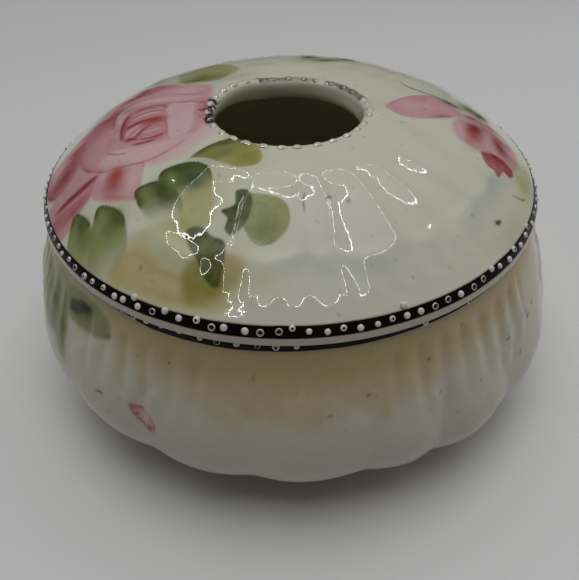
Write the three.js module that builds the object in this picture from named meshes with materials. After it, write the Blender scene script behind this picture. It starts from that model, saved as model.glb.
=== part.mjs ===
// A porcelain hair receiver, the lidded dressing-table jar with a round hole in its lid.
// Millimetres, +Z up. The origin is the centre of the foot ring, on the surface that the jar stands on.
// Two loose pieces, the bowl and the lid, carry bonded decoration: an enamelled rim band on each, and a
// ring of beads round the lid's mouth.
import * as THREE from "three";

// ---- Driving dimensions ----
const FOOT_OUTER_RADIUS = 39;
const FOOT_INNER_RADIUS = 35.5;
const FOOT_RECESS_HEIGHT = 1.8;
const BOWL_FLOOR_TOP = 5;
const BOWL_RIM_TOP = 47.7;
const BOWL_BAND_LOW = [54.45, 46.3];
const BOWL_BAND_HIGH = [54.15, 47.3];
const BOWL_MOUTH_RADIUS = 51.9;
const BELLY = [62.3, 20.5];
const BELLY_INSIDE = [59, 20.5];

const SEAT_GAP = 0.3;
const LID_SEAT_Z = BOWL_RIM_TOP + SEAT_GAP;
const LID_EDGE_RADIUS = 55;
const LID_BAND_LOW = [LID_EDGE_RADIUS, 50];
const LID_BAND_HIGH = [53.9, 51.85];
const FLANGE_OUTER_RADIUS = 51;
const FLANGE_INNER_RADIUS = 48.5;
const FLANGE_BOTTOM_Z = 43.5;
const MOUTH_TOP_Z = 63.6;
const MOUTH_RADIUS = 15.9;
const MOUTH_LAND_RADIUS = 18.9;

const BAND_THICKNESS = 0.35;
const BAND_SEAT_DEPTH = 0.6;
const BAND_END_GAP = 0.2;
const BAND_BEAD_HEIGHT = 0.5;
const LID_BAND_BEADS = 120;
const BOWL_BAND_BEADS = 100;

const MOUTH_BEADS = 31;
const MOUTH_BEAD_RADIUS = 1.05;
const MOUTH_BEAD_RING_RADIUS = 17.6;
const MOUTH_BEAD_SEAT_GAP = 0.25;

// The bowl's flank is divided into six lobes that repeat three times round. A crease starts each lobe.
const LOBE_WIDTHS_DEG = [21, 21, 21, 14.5, 18.5, 24];
const CREASE_DEPTHS = [0.4, 0.8, 0.9, 0.7, 1.3, 1.0];
const LOBE_REPEATS = 3;
const FIRST_LOBE_DEG = -140;
const LOBE_ROUNDNESS = 2.2;
const LOBE_LOW_Z = 3;
const LOBE_FULL_Z = 9;
const LOBE_FADE_Z = 26;
const LOBE_TOP_Z = 38;

const COLUMNS_PER_LOBE = 4;
const LID_COLUMNS = 72;
const COLUMNS_PER_MOUTH_BEAD = 4;

// ---- Outline helpers: an outline is a list of [radius, height] points ----
const bezier = (p0, p1, p2, p3, steps) =>
  new THREE.CubicBezierCurve(
    new THREE.Vector2(...p0),
    new THREE.Vector2(...p1),
    new THREE.Vector2(...p2),
    new THREE.Vector2(...p3),
  )
    .getPoints(steps)
    .map((p) => [p.x, p.y]);

// The outline of the shallow groove that a rim band lies in, square to the line from low to high.
function bandSeat(low, high) {
  const length = Math.hypot(low[0] - high[0], high[1] - low[1]);
  const inwards = (BAND_SEAT_DEPTH * (high[1] - low[1])) / length;
  const downwards = (BAND_SEAT_DEPTH * (low[0] - high[0])) / length;
  return [low, high].map(([radius, height]) => [radius - inwards, height - downwards]);
}

// The spin of an outline about Z. Its columns stand at the given angles, and radiusAt may change each radius.
function revolve(outline, anglesDeg, radiusAt = (radius) => radius) {
  const points = outline.map(([radius, height]) => new THREE.Vector2(radius, height));
  const columns = anglesDeg.length;
  const geometry = new THREE.LatheGeometry(points, columns).rotateX(Math.PI / 2);
  const position = geometry.getAttribute("position");
  for (let column = 0; column <= columns; column++) {
    const angleDeg = anglesDeg[column % columns];
    const angle = THREE.MathUtils.degToRad(angleDeg);
    outline.forEach(([radius, height], row) => {
      const r = radius < 1e-6 ? 0 : radiusAt(radius, height, column % columns, row);
      position.setXYZ(column * outline.length + row, r * Math.cos(angle), r * Math.sin(angle), height);
    });
  }
  geometry.deleteAttribute("normal");
  geometry.deleteAttribute("uv");
  return geometry;
}

const evenAngles = (count) => Array.from({ length: count }, (_, i) => (360 * i) / count);

function ceramicMesh(name, geometry, color, roughness) {
  const material = new THREE.MeshStandardMaterial({ color, roughness, metalness: 0, flatShading: true });
  const mesh = new THREE.Mesh(geometry, material);
  mesh.name = name;
  return mesh;
}

// ---- Bowl ----
const lobes = [];
for (let repeat = 0, start = FIRST_LOBE_DEG; repeat < LOBE_REPEATS; repeat++)
  LOBE_WIDTHS_DEG.forEach((width, i) => {
    const nextCrease = CREASE_DEPTHS[(i + 1) % CREASE_DEPTHS.length];
    lobes.push({ start, width, creaseDepths: [CREASE_DEPTHS[i], nextCrease] });
    start += width;
  });
const lobeAngles = lobes.flatMap(({ start, width }) =>
  Array.from({ length: COLUMNS_PER_LOBE }, (_, i) => start + (width * i) / COLUMNS_PER_LOBE),
);

const smooth = (low, high, value) => THREE.MathUtils.smoothstep(value, low, high);

// Each lobe is a shallow arch between two creases. The creases fade out towards the shoulder and the foot.
function lobedRadius(radius, height, column, insideShare) {
  const { creaseDepths } = lobes[Math.floor(column / COLUMNS_PER_LOBE)];
  const across = (column % COLUMNS_PER_LOBE) / COLUMNS_PER_LOBE;
  const depth = creaseDepths[across < 0.5 ? 0 : 1];
  const crease = Math.abs(2 * across - 1) ** LOBE_ROUNDNESS;
  const fade = smooth(LOBE_LOW_Z, LOBE_FULL_Z, height) * (1 - smooth(LOBE_FADE_Z, LOBE_TOP_Z, height));
  return radius - depth * crease * fade * insideShare;
}

function bowl() {
  const outer = [
    ...bezier([FOOT_OUTER_RADIUS, 0], [FOOT_OUTER_RADIUS + 2, 2.6], [61.2, 7.6], BELLY, 8),
    ...bezier(BELLY, [63, 28], [58.4, 36.5], BOWL_BAND_LOW, 7).slice(1),
  ];
  const rim = [
    ...bandSeat(BOWL_BAND_LOW, BOWL_BAND_HIGH),
    BOWL_BAND_HIGH,
    [BOWL_BAND_HIGH[0] - 0.4, BOWL_RIM_TOP],
  ];
  const inner = [
    [BOWL_MOUTH_RADIUS + 0.4, BOWL_RIM_TOP],
    [BOWL_MOUTH_RADIUS, BOWL_RIM_TOP - 0.6],
    [BOWL_MOUTH_RADIUS, 45],
    ...bezier([BOWL_MOUTH_RADIUS, 45], [55.6, 36], [59.8, 28], BELLY_INSIDE, 5).slice(1),
    ...bezier(BELLY_INSIDE, [57.4, 10.5], [47, BOWL_FLOOR_TOP], [34, BOWL_FLOOR_TOP], 6).slice(1),
    [0, BOWL_FLOOR_TOP],
  ];
  const underside = [
    [0, FOOT_RECESS_HEIGHT],
    [FOOT_INNER_RADIUS - 1, FOOT_RECESS_HEIGHT],
    [FOOT_INNER_RADIUS, 0],
  ];
  const outerRows = underside.length + outer.length;
  const outline = [...underside, ...outer, ...rim, ...inner];
  const radiusAt = (radius, height, column, row) =>
    lobedRadius(radius, height, column, row < outerRows ? 1 : 0.5);
  return ceramicMesh("bowl", revolve(outline, lobeAngles, radiusAt), 0xc9c7bd, 0.22);
}

// ---- Lid ----
function lid() {
  const domed = bezier([MOUTH_LAND_RADIUS, 63.65], [40, 63.5], [45.5, 58.8], LID_BAND_HIGH, 9);
  const outline = [
    [MOUTH_RADIUS, MOUTH_TOP_Z],
    [MOUTH_RADIUS + 0.2, 60.8],
    [17.6, 59.2],
    [21, 59.9],
    ...bezier([26, 60], [36, 59.6], [44, 57], [FLANGE_INNER_RADIUS, 50.6], 5),
    [FLANGE_INNER_RADIUS, FLANGE_BOTTOM_Z + 0.6],
    [FLANGE_INNER_RADIUS + 0.6, FLANGE_BOTTOM_Z],
    [FLANGE_OUTER_RADIUS - 0.6, FLANGE_BOTTOM_Z],
    [FLANGE_OUTER_RADIUS, FLANGE_BOTTOM_Z + 0.6],
    [FLANGE_OUTER_RADIUS, LID_SEAT_Z],
    [LID_EDGE_RADIUS - 0.6, LID_SEAT_Z],
    [LID_EDGE_RADIUS + 0.1, LID_SEAT_Z + 0.5],
    [LID_EDGE_RADIUS + 0.15, LID_BAND_LOW[1] - 0.4],
    LID_BAND_LOW,
    ...bandSeat(LID_BAND_LOW, LID_BAND_HIGH),
    ...domed.reverse(),
  ];
  outline.push(outline[0]);
  return ceramicMesh("lid", revolve(outline, evenAngles(LID_COLUMNS)), 0xc4c8ae, 0.2);
}

// ---- Enamel rim bands: a thin band between two outline points, with a raised bead on every other column ----
function beadedBand(name, low, high, beads) {
  const run = high[0] - low[0];
  const rise = high[1] - low[1];
  const length = Math.hypot(run, rise);
  const along = (share) => [low[0] + run * share, low[1] + rise * share];
  const inwards = ([radius, height]) => [
    radius - (BAND_THICKNESS * rise) / length,
    height + (BAND_THICKNESS * run) / length,
  ];
  const start = along(BAND_END_GAP / length);
  const end = along(1 - BAND_END_GAP / length);
  const outline = [inwards(start), start, along(0.5), end, inwards(end)];
  outline.push(outline[0]);
  const raisedRow = 2;
  const radiusAt = (radius, height, column, row) =>
    row === raisedRow && column % 2 ? radius + BAND_BEAD_HEIGHT : radius;
  return ceramicMesh(name, revolve(outline, evenAngles(2 * beads), radiusAt), 0x1e1a18, 0.3);
}

// ---- Beads round the mouth: one ring whose section swells at each bead ----
function mouthBeadRing() {
  const bottom = MOUTH_TOP_Z + MOUTH_BEAD_SEAT_GAP;
  const columns = MOUTH_BEADS * COLUMNS_PER_MOUTH_BEAD;
  const half = MOUTH_BEAD_RADIUS;
  const section = [
    [half * 0.8, 0],
    [half, half * 0.45],
    [half * 0.55, half],
    [-half * 0.55, half],
    [-half, half * 0.45],
    [-half * 0.8, 0],
  ];
  section.push(section[0]);
  const swell = (column) => {
    const across = (column % COLUMNS_PER_MOUTH_BEAD) / COLUMNS_PER_MOUTH_BEAD;
    return 0.62 + 0.38 * Math.sin(Math.PI * across);
  };
  const outline = section.map(([aside, up]) => [MOUTH_BEAD_RING_RADIUS + aside, bottom + up]);
  const geometry = revolve(outline, evenAngles(columns));
  const position = geometry.getAttribute("position");
  for (let i = 0; i < position.count; i++) {
    const column = Math.floor(i / outline.length) % columns;
    const [aside, up] = section[i % outline.length];
    const angle = (2 * Math.PI * column) / columns;
    const radius = MOUTH_BEAD_RING_RADIUS + aside * swell(column);
    position.setXYZ(i, radius * Math.cos(angle), radius * Math.sin(angle), bottom + up * swell(column));
  }
  return ceramicMesh("mouth_bead_ring", geometry, 0xbdb5a0, 0.25);
}

const jar = new THREE.Group();
const bowlBody = new THREE.Group();
const lidBody = new THREE.Group();
bowlBody.add(
  bowl(),
  beadedBand("bowl_rim_band", BOWL_BAND_LOW, BOWL_BAND_HIGH, BOWL_BAND_BEADS),
);
lidBody.add(
  lid(),
  beadedBand("lid_rim_band", LID_BAND_LOW, LID_BAND_HIGH, LID_BAND_BEADS),
  mouthBeadRing(),
);
jar.add(bowlBody, lidBody);

export default jar;
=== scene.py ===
"""The surfaces, painting and glaze of a hand-painted porcelain hair receiver, around its CAD frame."""
import math

import bpy
import numpy as np
from mathutils import Matrix, Vector


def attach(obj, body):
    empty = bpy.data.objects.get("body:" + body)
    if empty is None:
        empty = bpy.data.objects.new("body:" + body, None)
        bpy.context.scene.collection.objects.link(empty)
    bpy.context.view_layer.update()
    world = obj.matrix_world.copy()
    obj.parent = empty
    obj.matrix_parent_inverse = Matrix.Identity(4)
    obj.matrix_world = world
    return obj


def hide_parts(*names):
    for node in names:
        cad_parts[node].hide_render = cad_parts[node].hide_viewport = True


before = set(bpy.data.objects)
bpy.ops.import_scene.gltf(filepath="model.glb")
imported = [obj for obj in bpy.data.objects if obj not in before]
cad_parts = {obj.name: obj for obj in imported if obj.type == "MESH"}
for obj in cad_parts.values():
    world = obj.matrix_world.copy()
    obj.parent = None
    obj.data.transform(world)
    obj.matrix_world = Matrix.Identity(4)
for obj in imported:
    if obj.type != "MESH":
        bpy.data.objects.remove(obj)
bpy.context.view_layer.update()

# ---- Driving dimensions, in millimetres ----
# Angles round the jar start at its front, -Y, and grow towards +X. A pair is a radius and a height
MM = 0.001
FOOT_OUTER_RADIUS = 39.0
FOOT_INNER_RADIUS = 35.5
FOOT_RECESS_HEIGHT = 1.8
BOWL_FLOOR_TOP = 5.0
BOWL_RIM_TOP = 47.7
BOWL_BAND_LOW = (54.45, 46.3)
BOWL_BAND_HIGH = (54.15, 47.3)
BOWL_MOUTH_RADIUS = 51.9
BELLY = (62.3, 20.5)
BELLY_INSIDE = (59.0, 20.5)
LID_SEAT_Z = 48.0
LID_EDGE_RADIUS = 55.0
LID_BAND_LOW = (LID_EDGE_RADIUS, 50.0)
LID_BAND_HIGH = (53.9, 51.85)
FLANGE_OUTER_RADIUS = 51.0
FLANGE_INNER_RADIUS = 48.5
FLANGE_BOTTOM_Z = 43.5
MOUTH_RADIUS = 16.0
DOME_START = (18.9, 63.65)

# The lid was pressed slightly out of true round its mouth
LIP_RISE = 0.45
LIP_LIFT = 0.5
LIP_DIP = 0.98
LIP_DIP_DEG = (118, 185)
THROAT_OFF_CENTRE = 0.5
THROAT_WORN = 0.15
THROAT_THINNER = 1.1
THROAT_THINNER_DEG = (236, 290)

# Lobes round the bowl and flutes on both pieces. The mould's pattern repeats three times round
LOBE_WIDTHS_DEG = (21, 21, 21, 14.5, 18.5, 24)
CREASE_DEPTHS = (0.4, 0.8, 0.9, 0.7, 1.3, 1.0)
LOBE_REPEATS = 3
FIRST_LOBE_DEG = -50.0
LOBE_ROUNDNESS = 2.2
FLUTE_WIDTHS_DEG = (21, 16, 8.5, 14, 13, 13, 13, 21.5)
FIRST_FLUTE_DEG = -35.5
FLUTE_RISE = 0.043
FLUTES_START_RADIUS = 27.6
FLUTES_END_RADIUS = 43.2
SHORT_FLUTES = (46.8, 50.0)
CRISP_FLUTES_DEG = (-34, 48)
BOWL_FLUTES_DEG = ((-42, -17), (19, 52))
PETAL_TOP = 38.0
SLUMP_DEPTH = 1.7
SLUMP_DEG = (38, 60)

# Enamel bands with their dots, and the beads round the mouth
BAND_PROUD = 0.06
BAND_SUNK = 0.3
LID_BAND_DOTS = 120
STRAY_DOTS = [(20.5, 3.0), (-31, 2.3)]
BOWL_BAND_DOTS = 100
WORN_DOTS_DEG = [(-100, -36), (1, 130)]
DOT_RADIUS = 0.62
DOT_HEIGHT = 0.48
MOUTH_BEADS = 31
MOUTH_BEAD_RING_RADIUS = 17.8
MOUTH_BEAD_RADIUS = 1.05
MOUTH_BEAD_HEIGHT = 0.4

# Lamps that only glossy surfaces show: a rectangle of strips, round a dim panel
LAMP_HALF_WIDTH = 130.0
LAMP_FRONT_Y = -215.0
LAMP_BACK_Y = 165.0
LAMP_HEIGHT = 340.0
LAMP_STRIP_WIDTH = 2.6
LAMP_STRIP_GLOW = 28
LAMP_PANEL_GLOW = 0.6

CAMERA_AT = (-0.6, -126.5, 124.9)
CAMERA_PITCH_DEG = 41.83
CAMERA_ROLL_DEG = -1.14
CAMERA_LENS = 38.55
SENSOR_WIDTH = 36.0


# ---- Colours: sRGB values from 0 to 255, as a paint chart gives them ----
def linear(colour):
    """An sRGB colour as the linear numbers that shaders and mixing use."""
    share = np.asarray(colour, float) / 255
    return np.where(share <= 0.04045, share / 12.92, ((share + 0.055) / 1.055) ** 2.4)


IVORY = (216, 217, 196)
# Grey-blue for glaze pooled in the lid's hollows, laid darker there partly as painted shade of the relief
POOLED_GLAZE_AND_SHADE = (176, 182, 172)
LIP_IVORY = (200, 193, 176)
BOWL_WHITE = (210, 204, 184)
# Painted shade: grey for the lower belly, which faces down
BOWL_PAINTED_SHADE = (190, 190, 184)
# Painted light: a cream lighter than the porcelain, laid on the inner wall of the mouth
THROAT_PAINTED_LIGHT = (244, 238, 206)
INSIDE_GLAZE = (211, 207, 178)
BISQUE = (196, 188, 172)
OCHRE = (200, 178, 132)
OCHRE_DEEP = (186, 160, 110)
ROSE_PALE = (222, 188, 190)
ROSE_LIGHT = (210, 161, 166)
ROSE_MID = (196, 130, 136)
ROSE_DEEP = (174, 90, 95)
ROSE_CORE = (150, 66, 68)
ROSE_ORANGE = (180, 76, 60)
ROSE_BROWN = (122, 52, 48)
LEAF_PALE = (168, 168, 122)
LEAF_LIGHT = (144, 152, 96)
LEAF_MID = (112, 122, 70)
LEAF_DARK = (70, 82, 40)
LEAF_BLUE = (76, 90, 62)
LEAF_DEEP = (44, 52, 8)
OLIVE = (166, 163, 94)
OLIVE_DEEP = (146, 140, 66)
YELLOW_WASH = (192, 188, 138)
BROWN_WASH = (194, 172, 108)
MAUVE = (128, 92, 92)
SPECK = (92, 78, 58)
ENAMEL_BLACK = (20, 15, 12)
DOT_WHITE = (226, 226, 216)
DOT_BROKEN = (110, 104, 94)
GILDING_WORN = (104, 78, 74)
GILDING_DARK = (52, 36, 34)


# ---- Small maths helpers ----
def smooth(low, high, value):
    """0 below low and 1 above high, with a smooth step between."""
    t = np.clip((value - low) / (high - low), 0, 1)
    return t * t * (3 - 2 * t)


def bezier(p0, p1, p2, p3, steps=60):
    """A cubic curve from p0 to p3."""
    t = np.linspace(0, 1, steps + 1)[:, None]
    p0, p1, p2, p3 = (np.array(p, float) for p in (p0, p1, p2, p3))
    return (1 - t) ** 3 * p0 + 3 * (1 - t) ** 2 * t * p1 + 3 * (1 - t) * t * t * p2 + t**3 * p3


def spaced(points, step):
    """The same line with its points about one step apart."""
    points = np.asarray(points, float)
    lengths = np.hypot(*np.diff(points, axis=0).T)
    along = np.concatenate([[0], np.cumsum(lengths)])
    count = max(2, int(round(along[-1] / step)) + 1)
    where = np.linspace(0, along[-1], count)
    return np.stack([np.interp(where, along, points[:, i]) for i in range(2)], 1)


def rounded(corners, steps=6):
    """A line through corners (radius, height, rounding), each corner cut off by a smooth curve."""
    line = [np.array(corners[0][:2], float)]
    for before, corner, after in zip(corners, corners[1:], corners[2:]):
        at = np.array(corner[:2], float)
        back = np.array(before[:2], float) - at
        on = np.array(after[:2], float) - at
        start = at + back / np.linalg.norm(back) * corner[2]
        end = at + on / np.linalg.norm(on) * corner[2]
        for t in np.linspace(0, 1, steps + 1):
            line.append((1 - t) ** 2 * start + 2 * t * (1 - t) * at + t * t * end)
    line.append(np.array(corners[-1][:2], float))
    return np.array(line)


def smooth_line(points, closed=False, steps=8):
    """A Catmull-Rom curve through the points."""
    p = np.asarray(points, float)
    if closed:
        p = np.vstack([p[-1], p, p[0], p[1]])
    else:
        p = np.vstack([2 * p[0] - p[1], p, 2 * p[-1] - p[-2]])
    t = np.linspace(0, 1, steps, endpoint=False)[:, None]
    pieces = []
    for a, b, c, d in zip(p, p[1:], p[2:], p[3:]):
        curved = (2 * a - 5 * b + 4 * c - d) * t**2 + (3 * b - a - 3 * c + d) * t**3
        pieces.append(0.5 * (2 * b + (c - a) * t + curved))
    line = np.vstack(pieces)
    return line if closed else np.vstack([line, p[-2]])


def cloud(places, size, seed):
    """Smooth random values from -1 to 1 over places (n, 3), with lumps of about the given size."""
    cells = 24
    lattice = np.random.default_rng(seed).uniform(-1, 1, (cells, cells, cells))
    at = np.asarray(places, float) / size + 500.0
    low = np.floor(at).astype(int)
    part = at - low
    part = part * part * (3 - 2 * part)
    total = np.zeros(len(at))
    for corner in np.ndindex(2, 2, 2):
        index = (low + corner) % cells
        weight = np.prod(np.where(np.array(corner), part, 1 - part), axis=1)
        total += weight * lattice[index[:, 0], index[:, 1], index[:, 2]]
    return total


def repeat_third(angle_deg):
    """The angle from -60 to 60 at the same place in the mould's pattern, which repeats three times."""
    return (angle_deg + 60) % 120 - 60


def window(value, low, high, soft):
    """1 between low and high, falling to 0 over the soft width outside."""
    return smooth(low - soft, low, value) * (1 - smooth(high, high + soft, value))


def on_circle(angle, radius, height):
    """Places at the angles round the axis, each with its radius and height."""
    turn = np.radians(angle)
    return np.stack([radius * np.sin(turn), -radius * np.cos(turn), height], 1)


# ---- Meshes spun from rings ----
def ring_faces(start, count, after, after_count):
    """The faces between two rings. One's count is a whole multiple of the other's, which may be 1."""
    if count < after_count:
        return [face[::-1] for face in ring_faces(after, after_count, start, count)]
    faces = []
    ratio = count // after_count
    for j in range(after_count):
        if after_count == 1:
            faces += [[start + k, start + (k + 1) % count, after] for k in range(count)]
            continue
        low = [start + (ratio * j + k) % count for k in range(ratio + 1)]
        faces.append(low + [after + (j + 1) % after_count, after + j])
    return faces


def stacked_faces(rings):
    """The faces of a small closed dome, from its rings' first vertices and counts, with its foot first."""
    faces = []
    for (first, count), (after, after_count) in zip(rings, rings[1:]):
        faces += ring_faces(first, count, after, after_count)
    foot, sides = rings[0]
    faces.append([foot + j for j in range(sides)][::-1])
    return faces


def spin(name, parts, relief, form=None, closed=True):
    """A mesh spun about Z from parts of an outline: (points, columns) each, in order.

    From a vertex's angle and place on the outline, relief gives how far it moves along the outline's
    normal, and form how far out and up. Returns the object, and each vertex's place, angle and part.
    """
    outline = np.vstack([points for points, _ in parts])
    columns = np.concatenate([[count] * len(points) for points, count in parts])
    part_index = np.concatenate([[i] * len(points) for i, (points, _) in enumerate(parts)])
    along = np.gradient(outline, axis=0)
    normal = np.stack([along[:, 1], -along[:, 0]], 1)
    normal /= np.maximum(np.linalg.norm(normal, axis=1), 1e-9)[:, None]
    rows = [np.full(1 if outline[i, 0] < 1e-6 else columns[i], i) for i in range(len(outline))]
    row = np.concatenate(rows)
    angle = np.concatenate([np.arange(len(r)) * 360 / len(r) - 180 for r in rows])
    drawn = outline[row]
    at = drawn + normal[row] * relief(angle, drawn[:, 0], drawn[:, 1], part_index[row])[:, None]
    if form is not None:
        at = at + form(angle, drawn[:, 0], drawn[:, 1], part_index[row])
    places = on_circle(angle, at[:, 0], at[:, 1])
    starts = np.concatenate([[0], np.cumsum([len(r) for r in rows])])
    faces = []
    for i in range(len(rows) - 1):
        faces += ring_faces(starts[i], len(rows[i]), starts[i + 1], len(rows[i + 1]))
    if closed:
        faces += ring_faces(starts[-2], len(rows[-1]), 0, len(rows[0]))
    piece = mesh_object(name, places, faces)
    return piece, places, angle, part_index[row]


def add_object(name, data):
    """Puts an object into the scene."""
    added = bpy.data.objects.new(name, data)
    bpy.context.scene.collection.objects.link(added)
    return added


def mesh_object(name, places, faces):
    """A smooth-shaded object from places in millimetres. Its faces are turned to point out."""
    mesh = bpy.data.meshes.new(name)
    mesh.from_pydata((places * MM).tolist(), [], faces)
    mesh.update()
    corners = np.zeros(len(mesh.polygons), int)
    mesh.polygons.foreach_get("loop_start", corners)
    index = np.zeros(len(mesh.loops), int)
    mesh.loops.foreach_get("vertex_index", index)
    a, b, c = (places[index[corners + k]] for k in range(3))
    if np.einsum("ij,ij->", a, np.cross(b - a, c - a)) < 0:
        mesh.flip_normals()
    mesh.shade_smooth()
    return add_object(name, mesh)


def set_paint(piece, colours):
    """Stores a linear colour for each vertex, which the glaze shows."""
    attribute = piece.data.color_attributes.new("paint", "FLOAT_COLOR", "POINT")
    rgba = np.ones((len(colours), 4), np.float32)
    rgba[:, :3] = np.clip(colours, 0, 1)
    attribute.data.foreach_set("color", rgba.ravel())


# ---- China painting: thin layers of colour over a flat chart of the surface, in millimetres ----
class Canvas:
    """The colour of each vertex, and its place on the chart."""

    def __init__(self, x, y, ground):
        self.at = np.stack([x, y], 1)
        self.colour = np.tile(linear(ground), (len(x), 1))
        grain_at = np.stack([x, y, 0 * x], 1)
        self.grain = 0.6 * cloud(grain_at, 1.1, 11) + 0.4 * cloud(grain_at, 0.5, 12)
        self.flow = cloud(grain_at, 3.2, 13)

    def near(self, points, margin):
        """The vertices in the box round the points."""
        low = np.min(points, axis=0) - margin
        high = np.max(points, axis=0) + margin
        return np.nonzero(np.all((self.at > low) & (self.at < high), axis=1))[0]

    def lay(self, index, colour, alpha):
        """Covers the vertices with the colour, as far as alpha says."""
        alpha = np.clip(alpha, 0, 1)[:, None]
        self.colour[index] = self.colour[index] * (1 - alpha) + linear(colour) * alpha

    def distance(self, index, line, closed):
        """Each vertex's distance to the line, positive on its left or inside it, and its share along."""
        nearest = np.full(len(index), 1e9)
        side = np.ones(len(index))
        share = np.zeros(len(index))
        inside = np.zeros(len(index), bool)
        ends = np.vstack([line, line[:1]]) if closed else line
        for i, (a, b) in enumerate(zip(ends, ends[1:])):
            to = self.at[index] - a
            step = b - a
            t = np.clip(to @ step / max(step @ step, 1e-12), 0, 1)
            gap = np.linalg.norm(to - t[:, None] * step, axis=1)
            cross = step[0] * to[:, 1] - step[1] * to[:, 0]
            better = gap < nearest
            nearest = np.where(better, gap, nearest)
            side = np.where(better, np.sign(cross), side)
            share = np.where(better, (i + t) / (len(ends) - 1), share)
            if closed:
                spans = (ends[i, 1] > self.at[index, 1]) != (ends[i + 1, 1] > self.at[index, 1])
                rise = step[1] if abs(step[1]) > 1e-12 else 1e-12
                inside ^= spans & (to[:, 0] < to[:, 1] * step[0] / rise)
        return nearest * (np.where(inside, 1, -1) if closed else side), share

    def wash(self, colour, points, soft=0.6, strength=1.0, grain=0.12, fade=None):
        """A filled shape with a soft edge and an uneven tone. It may fade out between two places."""
        line = smooth_line(points, closed=True)
        index = self.near(line, soft + 0.5)
        inside, _ = self.distance(index, line, True)
        tone = 1 + grain * (self.grain[index] + 0.7 * self.flow[index])
        if fade is not None:
            start, end = np.array(fade, float)
            along = (self.at[index] - start) @ (end - start) / ((end - start) @ (end - start))
            tone = tone * (1 - smooth(0, 1, along))
        self.lay(index, colour, strength * smooth(-soft / 2, soft / 2, inside) * tone)

    def glow(self, colour, centre, radii, turn_deg=0.0, strength=1.0):
        """A soft round patch that fades all the way out."""
        turn = math.radians(turn_deg)
        reach = 2.2 * max(radii)
        index = self.near(np.array([centre]), reach)
        to = self.at[index] - np.array(centre)
        long = to[:, 0] * math.cos(turn) + to[:, 1] * math.sin(turn)
        wide = -to[:, 0] * math.sin(turn) + to[:, 1] * math.cos(turn)
        far = (long / radii[0]) ** 2 + (wide / radii[1]) ** 2
        self.lay(index, colour, strength * np.exp(-far) * (1 + 0.1 * self.grain[index]))

    def stroke(self, colour, points, width=0.5, strength=0.9, soft=0.35, taper=0.35):
        """A brush line that thins out at both ends."""
        line = smooth_line(points)
        index = self.near(line, width + soft)
        gap, share = self.distance(index, line, False)
        ends = np.minimum(share, 1 - share) / max(taper, 1e-6)
        half = width / 2 * np.clip(ends, 0.15, 1) ** 0.6
        alpha = strength * (1 - smooth(half - soft / 2, half + soft / 2, np.abs(gap)))
        self.lay(index, colour, alpha * np.clip(ends * 3, 0, 1) * (1 + 0.15 * self.grain[index]))

    def shade(self, colour, points, reach=2.0, strength=0.8, soft=0.35, taper=0.2):
        """A line that is crisp on its right and fades away over the reach on its left."""
        line = smooth_line(points)
        index = self.near(line, 2.5 * reach)
        gap, share = self.distance(index, line, False)
        ends = np.clip(np.minimum(share, 1 - share) / max(taper, 1e-6), 0, 1)
        fade = np.where(gap >= 0, np.exp(-((np.abs(gap) / reach) ** 1.2)), 1 - smooth(0, soft, -gap))
        self.lay(index, colour, strength * fade * ends * (1 + 0.1 * self.grain[index]))


def paint_rose_ground(c):
    """The whole of the big open rose. It reaches the mouth, and its lower right fades into the ground."""
    c.wash(ROSE_PALE, [
        (-17.6, 0), (-15.4, -6), (-15.6, -10.5), (-18.2, -14.6), (-21.5, -18.4), (-28, -19.4), (-32, -14),
        (-24, -6),
    ], soft=2.6, strength=0.85)
    c.wash(ROSE_LIGHT, [
        (-41, 15.4), (-36.4, 19.4), (-31, 19), (-26, 16.8), (-21, 16), (-18.2, 13.6), (-17.4, 8),
        (-17, 2), (-16.6, -2), (-18.4, -8.5), (-22.5, -13.4), (-27, -17.2), (-34, -18.4), (-42, -17.5),
        (-49, -17.6), (-52.5, -13), (-54, -7), (-50, -2), (-46.5, 3), (-44.5, 9),
    ], soft=1.9, strength=0.96, grain=0.06)


def paint_rose_back_petals(c):
    """The rose's back petals, darkest at their outer edge and pale towards the mouth."""
    c.glow(ROSE_PALE, (-22, 12.6), (5.5, 2.8), -16, 0.75)
    c.glow(ROSE_DEEP, (-35.6, 14.8), (4.6, 2.5), 42, 0.95)
    c.glow(ROSE_DEEP, (-36.4, 16.6), (3.2, 1.4), 40, 0.5)
    c.glow(ROSE_MID, (-30.5, 17.6), (5, 1.6), -10, 0.85)
    c.glow(ROSE_DEEP, (-31, 15.6), (3, 1.2), 24, 0.35)
    c.glow(ROSE_MID, (-41.5, 11.2), (2.4, 3.6), -38, 0.7)
    c.stroke(ROSE_PALE, [(-40.4, 9.6), (-37.6, 11.4), (-33, 12.4), (-28, 13.4)], 1.6, 0.5, 1.6)
    c.stroke(ROSE_MID, [(-27, 11.6), (-23, 10.2), (-19, 8.6)], 0.7, 0.6, 0.7)
    c.stroke(ROSE_DEEP, [(-37, 9.2), (-35.5, 9.8), (-33, 9.2)], 0.5, 0.5, 0.5)


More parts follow.
